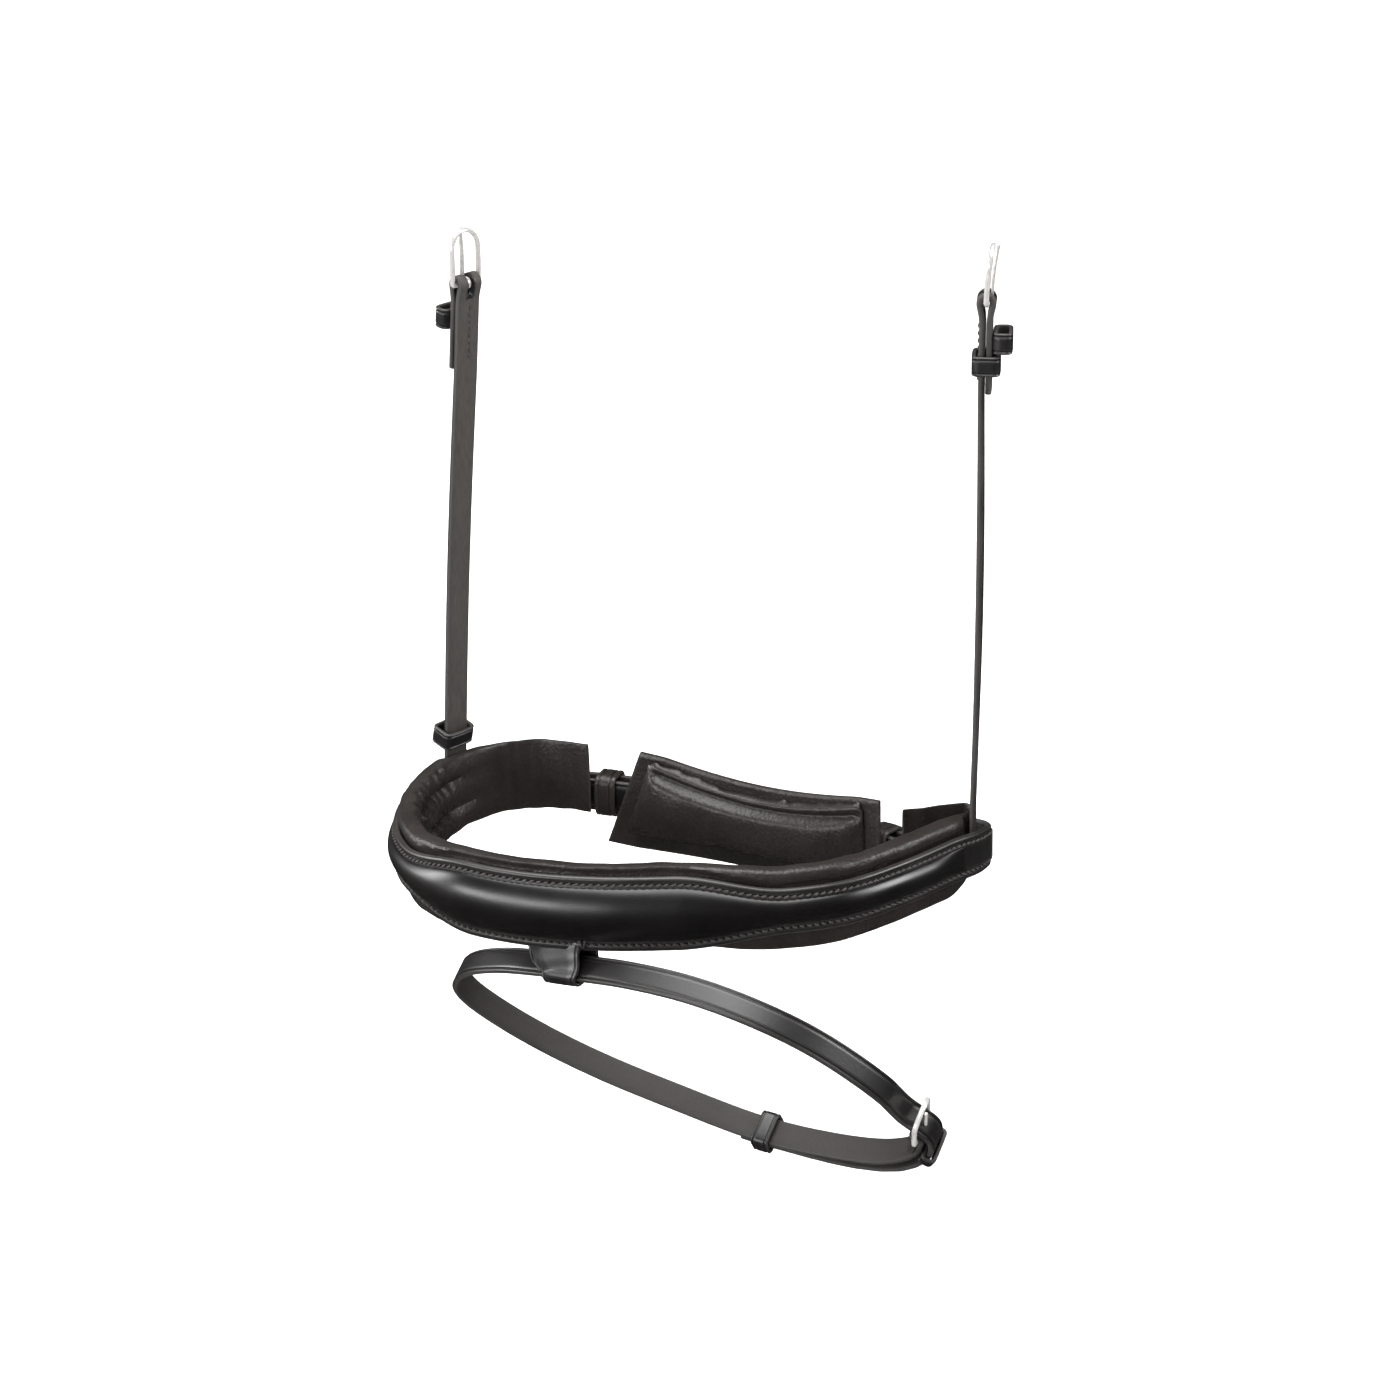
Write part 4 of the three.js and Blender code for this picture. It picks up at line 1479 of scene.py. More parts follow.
@dataclass
class CheekHanger:
    """Upright strap sewn into the nosepiece, folded round a buckle at its top.

    Args:
        side: left or right.
        station: of its seam on the nosepiece.
        runner_y: height of the loose runner on the strap.
        runner_tilt: how far the runner leans.
        bow: how far the strap bows outward half-way up.
        twist: degrees that the strap turns about its length half-way up.
        thickness: of the leather.
        half: half of its width.
        length: from the nosepiece to the buckle's bar.
        returned: length of the folded end.
        sewn: length behind the nosepiece.
        pinch: degrees that the fold goes on past a half circle, on each side.
    """

    side: str
    station: float
    runner_y: float
    runner_tilt: float
    bow: float
    twist: float
    thickness: float = 2.6
    half: float = 6.0
    length: float = 218.5
    returned: float = 37.0
    sewn: float = 28.0
    pinch: float = 38.0

    def place(self) -> Place:
        """Where the strap leaves the nosepiece, from its joints.

        Returns:
            The place, with along up the strap and out away from the horse.
        """
        across = joint_axis(f"{self.side}_cheek_swing")
        along = joint_axis(f"{self.side}_runner_slide")
        return Place(joint_place(f"{self.side}_cheek_swing"), np.cross(along, across), along)

    def bar(self) -> Place:
        """The buckle's bar."""
        place = self.place()
        return Place(joint_place(f"{self.side}_buckle_swing"), place.out, place.along)

    def bowed(self, heights: Array) -> Array:
        """How far the strap bows outward at those heights."""
        return self.bow * np.sin(np.clip(heights / (self.length - 40), 0, 1) * math.pi)

    def flat_path(self) -> Array:
        """The strap's line, from its sewn end up, round the bar and down to its tip.

        Returns:
            Points as (out, along).
        """
        layer = self.thickness + 0.35
        neck = self.length - 7
        bar = np.array([layer / 2, self.length])
        rise = [np.array([0.0, y]) for y in np.arange(-self.sewn, self.length - 12, 2.5)]
        turn = arc(bar, 3.0, 180 + self.pinch, -self.pinch, 16)
        down = [np.array([layer, y]) for y in np.linspace(neck, self.length - self.returned, 14)]
        return resample([*rise, np.array([0.0, neck]), *turn, *down], 1.0)

    def twisted(self, path: Array, outs: Array, sides: Array) -> None:
        """Turns the strap's directions about its length, most half-way up.

        Args:
            path: the strap's line.
            outs: outward directions, changed in place.
            sides: sideways directions, changed in place.
        """
        for k in range(int(np.argmax(path[:, 1]))):
            y = path[k, 1]
            a = math.radians(self.twist) * ease(y, 20, 90) * (1 - ease(y, 110, self.length - 42))
            outs[k], sides[k] = (
                math.cos(a) * outs[k] + math.sin(a) * sides[k],
                math.cos(a) * sides[k] - math.sin(a) * outs[k],
            )

    def laid_on_seam(self, path: Array, centres: Array, outs: Array, sides: Array) -> None:
        """Lays the foot of the strap upright against the nosepiece.

        Args:
            path: the strap's line.
            centres: its points, changed in place.
            outs: outward directions, changed in place.
            sides: sideways directions, changed in place.
        """
        place = self.place()
        heading = NOSE_LINE.heading(self.station * STATION)
        seam_out = np.array([heading[1], -heading[0], 0.0])
        for k, (_, y) in enumerate(path):
            if y > 34 or k > len(path) / 2:
                continue
            share = ease(y, -27, -11)
            seam = place.origin + y * UP
            centres[k] = mix(seam, centres[k], ease(y, -16, 4))
            along = unit(mix(UP, place.along, share))
            outs[k] = mix(seam_out, place.out, share)
            outs[k] = unit(outs[k] - along * np.dot(outs[k], along))
            sides[k] = np.cross(outs[k], along)

    def build_strap(self) -> None:
        """The strap from its sewn end to the folded end below the buckle."""
        place = self.place()
        path = self.flat_path()
        local, outs, sides = flat_frames(path)
        local[:, 0] += self.bowed(path[:, 1])
        centres, outs, sides = placed_frames(place, local, outs, sides)
        self.twisted(path, outs, sides)
        self.laid_on_seam(path, centres, outs, sides)
        profile = strap_profile(self.thickness, self.half, crease=1.6, depth=0.38, round_edge=0.8)
        strap = sweep(f"{self.side}_cheek_leather", centres, outs, sides, profile)
        punch(strap, slot_cutter(place, (-6, 9), (self.length - 6, self.length + 8), 1.7))
        # The strap wears the bridle's lit copy, its inner face painted paler as painted light.
        dress(strap, FINISH.key_lit_bridle)
        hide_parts(f"{self.side}_cheek_strap", f"{self.side}_cheek_tab")
        start, end = place.point(0, -7) * MM, place.point(0, 0.5) * MM
        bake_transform(strap)
        log.info("%s bends from noseband to %s_hanger", strap.name, self.side)

    def build_stitching(self) -> None:
        """The row that sews the folded end down, seen on the strap's inner face."""
        place = self.place()
        heights = np.arange(self.length - self.returned + 2, self.length - 7.5, 0.5)
        depths = self.bowed(heights) - self.thickness / 2 + 0.05
        line = np.array([place.point(x, y, 0.4) for x, y in zip(depths, heights)])
        row = stitch_row(f"{self.side}_fold_stitching", line, np.tile(-place.out, (len(line), 1)), 12)
        fit(row, FINISH.thread, f"{self.side}_hanger")

    def build_keepers(self) -> None:
        """The keeper on the folded end, and the loose runner."""
        place = self.place()
        stand = self.thickness * 1.5 + 0.35 * 2 + 1.7
        fixed = LeatherLoop((stand, stand + 4.2), self.half + 0.6, wide=8.8)
        at = Place(place.point(0, self.length - 16), place.out, place.along)
        keeper = fixed.build(f"{self.side}_keeper", at)
        fit(keeper, FINISH.bridle, f"{self.side}_hanger", f"{self.side}_fixed_keeper")
        loose = LeatherLoop((-2.2, 5.8), self.half + 0.8, wide=8.2)
        at = Place(place.point(0, self.runner_y), place.out, place.along).tilted(-self.runner_tilt)
        runner = loose.build(f"{self.side}_loose_runner", at)
        fit(runner, FINISH.bridle, f"{self.side}_runner", f"{self.side}_runner")

    def build_buckle(self) -> None:
        """The buckle's frame and tongue."""
        buckle = Buckle(8.1, 23.5, 0.94, curve=2.4)
        bar = self.bar()
        frame_piece = buckle.build_frame(f"{self.side}_buckle_wire", bar)
        fit(frame_piece, FINISH.nickel, f"{self.side}_buckle", f"{self.side}_buckle_frame")
        tongue = buckle.build_tongue(f"{self.side}_tongue_pin", bar)
        fit(tongue, FINISH.nickel, f"{self.side}_tongue", f"{self.side}_buckle_tongue")

    def build(self) -> None:
        """Builds the hanger."""
        self.build_strap()
        self.build_stitching()
        self.build_keepers()
        self.build_buckle()


# ---------------------------------------------------------------- straps that buckle on themselves


@dataclass
class BuckledStrap:
    """A strap whose end runs back through its own buckle.

    Args:
        prefix: of its nodes, flash or chin.
        body: that the strap belongs to.
        width: of the strap.
        runner_u: where its loose runner sits.
        spot: gives a flat point at a distance along the strap from the buckle's bar, and outward.
        place: of the flat drawing; x and y of the drawing are its out and along.
        thickness: of the leather.
        layer: from the middle of one layer to the middle of the next.
        fold: radius of the fold round the buckle's bar.
        tilt: degrees that the buckle leans off the strap.
    """

    prefix: str
    body: str
    width: float
    runner_u: float
    spot: Callable[[float, float], Array]
    place: Place
    thickness: float = 2.4
    layer: float = 2.8
    fold: float = 3.1
    tilt: float = 10.2

    def folded_end(self) -> list[Array]:
        """The end folded round the bar.

        Returns:
            Flat points from its sewn tip to the start of the strap.
        """
        spread = math.asin(self.layer / 2 / self.fold)
        sweep_back = 2 * (math.pi - spread)
        turn = []
        for k in range(15):
            a = -spread - k * sweep_back / 14
            turn.append(self.spot(self.fold * math.cos(a), -self.layer / 2 + self.fold * math.sin(a)))
        inner = [self.spot(u, -self.layer) for u in (17, 15, 12, 8, 5)]
        return inner + turn + [self.spot(u, 0) for u in (5, 8, 12)]

    def free_end(self, beyond: Sequence[tuple[float, float]]) -> list[Array]:
        """The free end as it comes through the buckle, lies on the fold and runs on.

        Args:
            beyond: distances and offsets past the fixed keeper.

        Returns:
            The points.
        """
        through = [(-24, -1.2), (-17, -1.4), (-4, 4.4), (0, 5), (6, 5), (12, 5), (18, 5), (22, 5)]
        return [self.spot(u, v) for u, v in (*through, *beyond)]

    def local(self, u: float, v: float = 0.0) -> Place:
        """Place on the strap, with its along direction running away from the buckle.

        Args:
            u: distance from the buckle's bar.
            v: distance outward.

        Returns:
            The place.
        """
        here, ahead = self.spot(u, v), self.spot(u + 0.5, v)
        along = unit(ahead - here)
        out = np.array([along[1], -along[0]])
        plane = self.place.axes[:2]
        return Place(self.place.point(*here), out @ plane, along @ plane)

    def buckle_place(self) -> Place:
        """The bar of the buckle, with its frame lying back over the strap's free end."""
        at = self.local(0, -self.layer / 2)
        return Place(at.origin, at.out, -at.along).tilted(self.tilt)

    def build_strap(self, path: Sequence[Array], *nodes: str) -> None:
        """The strap itself.

        Args:
            path: flat points from the folded end's tip to the free tip.
            *nodes: CAD nodes that it stands for.
        """
        frames = placed_frames(self.place, *flat_frames(resample(path, 1.4)))
        profile = strap_profile(self.thickness, self.width / 2, crease=1.6, depth=0.42, round_edge=0.75)
        strap = sweep(f"{self.prefix}_leather", *frames, profile)
        buckle = self.buckle_place()
        punch(strap, slot_cutter(buckle, (-7, 3.9), (-4.5, 4.6), 1.7))
        fit(strap, FINISH.bridle, self.body, *nodes)

    def build_fittings(self) -> None:
        """Keeper, runner, buckle frame and tongue."""
        low = self.thickness / 2 + 0.35 + 1.7 + 0.25
        keeper = LeatherLoop((low, low + 3.1), self.width / 2 + 0.6, wide=7, corner=1.0)
        piece = keeper.build(f"{self.prefix}_keeper", self.local(14), 0.1)
        fit(piece, FINISH.bridle, self.body, f"{self.prefix}_fixed_keeper")
        slack = self.thickness / 2 + 0.9
        runner = LeatherLoop((-slack, self.layer + slack), self.width / 2 + 0.7)
        piece = runner.build(f"{self.prefix}_loose_runner", self.local(self.runner_u))
        fit(piece, FINISH.bridle, f"{self.prefix}_runner", f"{self.prefix}_runner")
        buckle = Buckle(self.width / 2 + 0.7 + 2.2 * 0.8, 20, 0.4)
        bar = self.buckle_place()
        piece = buckle.build_frame(f"{self.prefix}_buckle_wire", bar)
        fit(piece, FINISH.nickel, f"{self.prefix}_buckle", f"{self.prefix}_buckle_frame")
        piece = buckle.build_tongue(f"{self.prefix}_tongue_pin", bar)
        fit(piece, FINISH.nickel, f"{self.prefix}_tongue", f"{self.prefix}_buckle_tongue")


# ---------------------------------------------------------------- chin strap, rings and jaw pad

# The chin strap's curve seen from above: its centre, radius and half of the gap between its two
# layers in millimetres, then its ends and its buckle in degrees round the centre.
CHIN_CENTRE = np.array([-17.8, -262.1])
CHIN_RADIUS = 413.0
CHIN_SPREAD = 3.7
CHIN_LEFT, CHIN_RIGHT, CHIN_BUCKLE = 96.98, 72.85, 83.0
CHIN_DROP = 12.0
CHIN_WIDTH = 15.0
RING_DROP = 8.5


def upright(x: float, y: float, z: float) -> Array:
    """Point of the flat drawing at that height, in the frame of the whole piece."""
    return np.array([x, y, z]) - REST


@dataclass
class ChinStrap:
    """Doubled strap between the two end rings, buckled behind the jaw."""

    def spot(self, u: float, v: float) -> Array:
        """Flat point u along the outer layer from the buckle's bar, v outward."""
        outer = CHIN_RADIUS + CHIN_SPREAD
        return polar(CHIN_CENTRE, outer + v, CHIN_BUCKLE + math.degrees(u / outer))

    def build(self) -> None:
        """Builds the strap and its fittings."""
        place = Place(upright(0, 0, -CHIN_DROP), np.array([1.0, 0, 0]), np.array([0, 1.0, 0]))
        strap = BuckledStrap("chin", "noseband", CHIN_WIDTH, 34, self.spot, place)
        outer, inner = CHIN_RADIUS + CHIN_SPREAD, CHIN_RADIUS - CHIN_SPREAD
        left, right = (polar(CHIN_CENTRE, CHIN_RADIUS, a) for a in (CHIN_LEFT, CHIN_RIGHT))
        path = [
            *strap.folded_end(),
            *arc(CHIN_CENTRE, outer, CHIN_BUCKLE + 3, CHIN_LEFT - 0.8, 12),
            *arc(left, CHIN_SPREAD, CHIN_LEFT, CHIN_LEFT + 180, 12),
            *arc(CHIN_CENTRE, inner, CHIN_LEFT - 0.8, CHIN_RIGHT + 0.8, 30),
            *arc(right, CHIN_SPREAD, CHIN_RIGHT - 180, CHIN_RIGHT, 12),
            *arc(CHIN_CENTRE, outer, CHIN_RIGHT + 0.8, CHIN_BUCKLE - 5, 6),
            *strap.free_end([(u, strap.layer) for u in (28, 36, 43)]),
        ]
        strap.build_strap(path, "chin_strap")
        strap.build_fittings()


@dataclass
class EndFittings:
    """Rings that join the nosepiece to the chin strap, each in its folded chape.

    Args:
        wire: thickness of the rings' wire.
        half: half of the rings' height.
        wall: thickness of the chapes' leather.
    """

    wire: float = 2.2
    half: float = CHIN_WIDTH / 2 + 4.1
    wall: float = 1.7

    def ring(self, side: str, nose_bar: Array, chin_bar: Array) -> None:
        """One wire ring.

        Args:
            side: left or right.
            nose_bar: flat place of the bar in the nosepiece's chape.
            chin_bar: flat place of the bar in the chin strap.
        """
        middle = (nose_bar + chin_bar) / 2
        reach = np.linalg.norm(chin_bar - nose_bar) / 2
        along = unit(chin_bar - nose_bar)
        out = np.array([along[1], -along[0], 0.0])
        place = Place(upright(*middle, -RING_DROP), out, np.array([*along, 0.0]))
        path = rounded(reach, self.half + self.wire / 2, 2.0, 6, 5)
        section = wire_profile(self.wire / 2, self.wire / 2, 14, 0.9)
        ring = wire_loop(f"{side}_end_ring", place, path, section)
        fit(ring, FINISH.nickel, "noseband", f"{side}_ring")

    def chape(self, side: str, bar: Array, stations: Sequence[float]) -> None:
        """The strip folded round the ring's bar and sewn to the nosepiece.

        Args:
            side: left or right.
            bar: flat place of the ring's bar.
            stations: of the nosepiece that its legs lie on, towards the ring.
        """
        reach = NOSE_STRAP / 2 + 0.35 + self.wall / 2
        inner = [NOSE_LINE.offset(i * STATION, -NOSE_STRAP / 2 - reach) for i in stations]
        outer = [NOSE_LINE.offset(i * STATION, -NOSE_STRAP / 2 + reach) for i in reversed(stations)]
        inward = inner[-1] - outer[0]
        away = bar - (inner[-1] + outer[0]) / 2
        start = math.degrees(math.atan2(inward[1], inward[0]))
        turn = 180 if inward[0] * away[1] - inward[1] * away[0] > 0 else -180
        path = resample([*inner, *arc(bar, reach, start, start + turn, 12), *outer], 1.2)
        centres, outs, sides = flat_frames(path - REST[:2], -5.0)
        profile = strap_profile(self.wall, CHIN_WIDTH / 2 - 0.6, 1.4, 0.2, 0.6, flesh=False)
        chape = sweep(f"{side}_chape", centres, outs, sides, profile)
        fit(chape, FINISH.bridle, "noseband", f"{side}_ring_chape")

    def build(self) -> None:
        """Builds both sides."""
        left = polar(CHIN_CENTRE, CHIN_RADIUS, CHIN_LEFT)
        right = polar(CHIN_CENTRE, CHIN_RADIUS, CHIN_RIGHT)
        left_nose = left + np.array([-10.0, 0.6])
        right_nose = right + np.array([8.0, 6.0])
        self.ring("left", left_nose, left)
        self.ring("right", right_nose, right)
        self.chape("left", left_nose, (5, 4.5, 4, 3.5, 3))
        self.chape("right", right_nose, (55, 55.5, 56, 56.5, 57))


Depth = Callable[[float, float], float]


@dataclass
class JawPad:
    """Padded leaf that slides on the chin strap behind the jaw.

    Args:
        left: degrees round the chin strap's centre of the leaf's left edge.
        right: the same of its right edge.
        lean: how far the left edge's foot lies past its top.
        top: height of its upper edge.
        dip: how far the middle of the upper edge lies lower.
        bottom: height of its lower edge.
        shell: thickness of the stiff leaf.
        cushion: thickness of the stuffed cushion.
        margin: bare leaf outside the cushion.
        top_margin: share of the margin that is bare above the cushion.
        clear: gap between the chin strap and the loops.
        back: from the chin strap's inner layer to the leaf.
        across_steps: faces across the leaf.
        up_steps: faces up the leaf.
    """

    left: float = 91.9
    right: float = 74.7
    lean: float = 18.0
    top: float = 15.0
    dip: float = 8.0
    bottom: float = -33.0
    shell: float = 3.0
    cushion: float = 8.0
    margin: float = 4.2
    top_margin: float = 0.35
    clear: float = 0.6
    back: float = 1.2 + 0.6 + 1.7 + 0.35
    across_steps: int = 96
    up_steps: int = 44

    def spot(self, share: float, height: float, depth: float, inset: float = 0.0) -> Array:
        """Point of the leaf.

        Args:
            share: 0 at the left edge and 1 at the right.
            height: 0 at the bottom edge and 1 at the top.
            depth: from the inner layer of the chin strap towards the jaw.
            inset: from the leaf's edges.

        Returns:
            The point in the frame of the whole piece.
        """
        radius = CHIN_RADIUS - CHIN_SPREAD - depth
        turn = math.degrees(inset / radius)
        degrees = mix(self.left - turn, self.right + turn, share)
        top = self.top - self.dip * math.sin(math.pi * share) - inset * self.top_margin
        low = self.bottom + inset
        corner = min(1.0, 6 * min(share, 1 - share) + 0.35) ** 0.5
        z = (top + low) / 2 + (height - 0.5) * (top - low) * mix(0.86, 1, corner)
        shift = self.lean * (1 - share) ** 2 * (self.top - z) / (self.top - self.bottom)
        flat = polar(CHIN_CENTRE, radius, degrees + math.degrees(shift / radius))
        return upright(flat[0], flat[1], z)

    def leaf(
        self, name: str, near: Depth, far: Depth, inset: float, steps: tuple[int, int]
    ) -> bpy.types.Object:
        """Closed sheet between two depths.

        Args:
            name: of the piece.
            near: depth of its back at a share and height.
            far: depth of its face.
            inset: of its outline from the leaf's edges.
            steps: across and up.

        Returns:
            The piece.
        """
        n, m = steps
        vertices, faces, wear_and_sheen = [], [], []
        for depth in (near, far):
            for i in range(n + 1):
                for j in range(m + 1):
                    vertices.append(self.spot(i / n, j / m, depth(i / n, j / m), inset))
                    wear_and_sheen.append(1.0 if i in (0, n) or j in (0, m) else 0.0)

        def number(layer: int, i: int, j: int) -> int:
            """Number of a point, counted as they were added."""
            return (layer * (n + 1) + i) * (m + 1) + j

        for layer in (0, 1):
            for i in range(n):
                for j in range(m):
                    corners = ((i, j), (i + 1, j), (i + 1, j + 1), (i, j + 1))
                    faces.append(tuple(number(layer, *corner) for corner in corners))
        rim = [(i, 0) for i in range(n)] + [(n, j) for j in range(m)]
        rim += [(i, m) for i in range(n, 0, -1)] + [(0, j) for j in range(m, 0, -1)]
        for here, ahead in zip(rim, rim[1:] + rim[:1]):
            faces.append((number(0, *here), number(0, *ahead), number(1, *ahead), number(1, *here)))
        marks = {"wear_and_sheen": np.array(wear_and_sheen), "flesh": np.zeros(len(vertices))}
        return mesh_piece(name, np.array(vertices), faces, **marks)

    def edge(self, share: float, height: float) -> float:
        """Distance from the nearest edge of the cushion, in millimetres, roughly."""
        return min(min(share, 1 - share) * 118, height * 40, (1 - height) * 90)

    def build_shell(self) -> None:
        """The stiff leaf with its flat margin."""

        def drawn_in(share: float, height: float) -> float:
            """How far each face is rounded off near the leaf's edge."""
            return 0.55 * (1 - ease(self.edge(share, height), 0, 1.4))

        def back(share: float, height: float) -> float:
            """Depth of the back."""
            return self.back + drawn_in(share, height)

        def face(share: float, height: float) -> float:
            """Depth of the face, slightly uneven."""
            uneven = 0.12 * wobble(share * 9, height * 4, 2.0)
            return self.back + self.shell - drawn_in(share, height) + uneven

        shell = self.leaf("jaw_pad_margin", back, face, 0.0, (self.across_steps, self.up_steps))
        fit(shell, FINISH.lining, "jaw_pad", "jaw_pad_shell")

    def build_cushion(self) -> None:
        """The stuffed cushion: swollen by a cloth simulation, then sewn across below its top roll."""
        seat = self.back + self.shell + 0.1
        unswollen = self.cushion - 2.6

        def back(share: float, height: float) -> float:
            """Depth of the flat back, against the leaf."""
            return seat

        def face(share: float, height: float) -> float:
            """Depth of the unswollen face."""
            crown = 0.84 + 0.16 * math.sin(math.pi * height)
            return seat + unswollen * (0.1 + 0.9 * ease(self.edge(share, height), -1.0, 8.0)) * crown

        cushion = self.leaf("jaw_pad_padding", back, face, self.margin + 0.6, (40, 16))
        swell(cushion, pressure=4.0, cap=3.2, voxel=1.9)
        self.sew(cushion)
        fit(cushion, FINISH.lining, "jaw_pad", "jaw_pad_cushion")

    def sew(self, cushion: bpy.types.Object) -> None:
        """Presses the sewn channel and the faint pull wrinkles into the cushion.

        Args:
            cushion: already swollen.
        """
        centre = upright(*CHIN_CENTRE, 0.0)
        radius = CHIN_RADIUS - CHIN_SPREAD - self.back - self.shell
        deepest = radius - self.cushion - 1.2
        for vertex in cushion.data.vertices:
            p = np.array(vertex.co) / MM - centre
            r = math.hypot(p[0], p[1])
            degrees = math.degrees(math.atan2(p[1], p[0]))
            share = (self.left - degrees) / (self.left - self.right)
            rise = radius - r
            lift = ease(rise, 1.0, 5.0)
            sagging = math.sin(math.pi * min(max(share, 0), 1))
            seam = self.top - self.dip * sagging - 7.2 - 1.6 * sagging
            gap = p[2] - seam
            faded = ease(share, 0.03, 0.10) * (1 - ease(share, 0.91, 0.97))
            channel = 4.4 * math.exp(-((gap / 1.9) ** 2)) * faded
            crease = 0.22 * wobble(share * 30, p[2] * 0.07, 4.0) * ease(-gap, -8, 4)
            r = max(r + (channel + crease) * lift, deepest)
            a = math.atan2(p[1], p[0])
            vertex.co = Vector((centre + np.array([r * math.cos(a), r * math.sin(a), p[2]])) * MM)
        soften(cushion, rounds=6)

    def build_keepers(self) -> None:
        """The two soft loops that hold the leaf on the chin strap."""
        for side, degrees in (("left", 94.7), ("right", 75.2)):
            at = polar(CHIN_CENTRE, CHIN_RADIUS - CHIN_SPREAD, degrees)
            inward = unit(CHIN_CENTRE - at)
            out = np.array([*inward, 0.0])
            place = Place(upright(*at, -CHIN_DROP), out, np.array([-out[1], out[0], 0.0]))
            low, high = -2 * CHIN_SPREAD - 1.2 - self.clear, 1.2 + self.clear
            keeper = LeatherLoop((low, high), CHIN_WIDTH / 2 + 0.6, wide=9.6, crease=2.2, corner=2.6)
            piece = keeper.build(f"jaw_{side}_loop", place, 0.5)
            for vertex in piece.data.vertices:
                co = np.array(vertex.co) / MM
                vertex.co = vertex.co + Vector(out * 0.35 * MM * wobble(*(co * 0.30)))
            fit(piece, FINISH.lining, "jaw_pad", f"jaw_pad_{side}_keeper")

    def build(self) -> None:
        """Builds the pad."""
        self.build_shell()
        self.build_cushion()
        self.build_keepers()


def soften(piece: bpy.types.Object, rounds: int = 0, levels: int = 0) -> None:
    """Relaxes a piece's small bumps and rounds its facets.

    Args:
        piece: to soften.
        rounds: how often it is relaxed.
        levels: of subdivision.
    """
    if rounds:
        relax = piece.modifiers.new("relax", "SMOOTH")
        relax.factor, relax.iterations = 0.5, rounds
    if levels:
        rounder = piece.modifiers.new("round", "SUBSURF")
        rounder.levels = rounder.render_levels = levels
    apply_modifiers(piece)
    finish_shading(piece.data, 80)


def evened(mesh: bpy.types.Mesh, moved: Array, rounds: int) -> Array:
    """Spreads each point's movement over its neighbours, so that no single fold stays sharp.

    Args:
        mesh: the points and the edges between them.
        moved: movement of each point.
        rounds: how often it is spread.

    Returns:
        The smoother movement.
    """
    ends = np.array([e.vertices[:] for e in mesh.edges])
    count = np.bincount(ends.ravel(), minlength=len(moved)).clip(1)[:, None]
    for _ in range(rounds):
        around = np.zeros_like(moved)
        np.add.at(around, ends[:, 0], moved[ends[:, 1]])
        np.add.at(around, ends[:, 1], moved[ends[:, 0]])
        moved = (moved + around / count) / 2
    return moved


SWELL_FRAMES = 20


def swell(piece: bpy.types.Object, pressure: float, cap: float, voxel: float) -> None:
    """Blows a stuffed piece up as cloth, and keeps the swollen shape.

    Args:
        piece: a closed mesh, slightly smaller than the finished shape.
        pressure: inside the cloth.
        cap: furthest that any point may move, in millimetres.
        voxel: size of the remesh, in millimetres.
    """
    remesh = piece.modifiers.new("even", "REMESH")
    remesh.mode = "VOXEL"
    remesh.voxel_size = voxel * MM
    apply_modifiers(piece)
    rest = np.array([v.co for v in piece.data.vertices])
    cloth = piece.modifiers.new("stuffing", "CLOTH")
    settings = cloth.settings
    settings.use_pressure = True
    settings.uniform_pressure_force = pressure
    settings.effector_weights.gravity = 0
    settings.quality = 6
    cloth.point_cache.frame_start, cloth.point_cache.frame_end = 1, SWELL_FRAMES
    scene = bpy.context.scene
    for step in range(1, SWELL_FRAMES + 1):
        scene.frame_set(step)
    apply_modifiers(piece)
    scene.frame_set(1)
    moved = evened(piece.data, np.array([v.co for v in piece.data.vertices]) - rest, 24)
    far = np.linalg.norm(moved, axis=1)
    scale = np.minimum(1, cap * MM / np.maximum(far, 1e-9))
    piece.data.vertices.foreach_set("co", (rest + moved * scale[:, None]).ravel())
    soften(piece, rounds=4, levels=1)


# ---------------------------------------------------------------- flash strap

# The flash's inner layer in its own plane, from its buckle round behind and back.
FLASH_LINE = SmoothLine(
    [
        (154, 53), (149, 72), (133, 92), (109, 106), (70, 116), (29, 111), (-6, 103), (-32, 91),
        (-51, 76), (-61, 62), (-62, 48), (-52, 30), (-33, 14), (-12, 3), (10, -6), (34, -15),
        (62, -20), (88, -17), (112, -7), (132, 11), (146, 31),
    ],
    closed=True,
)


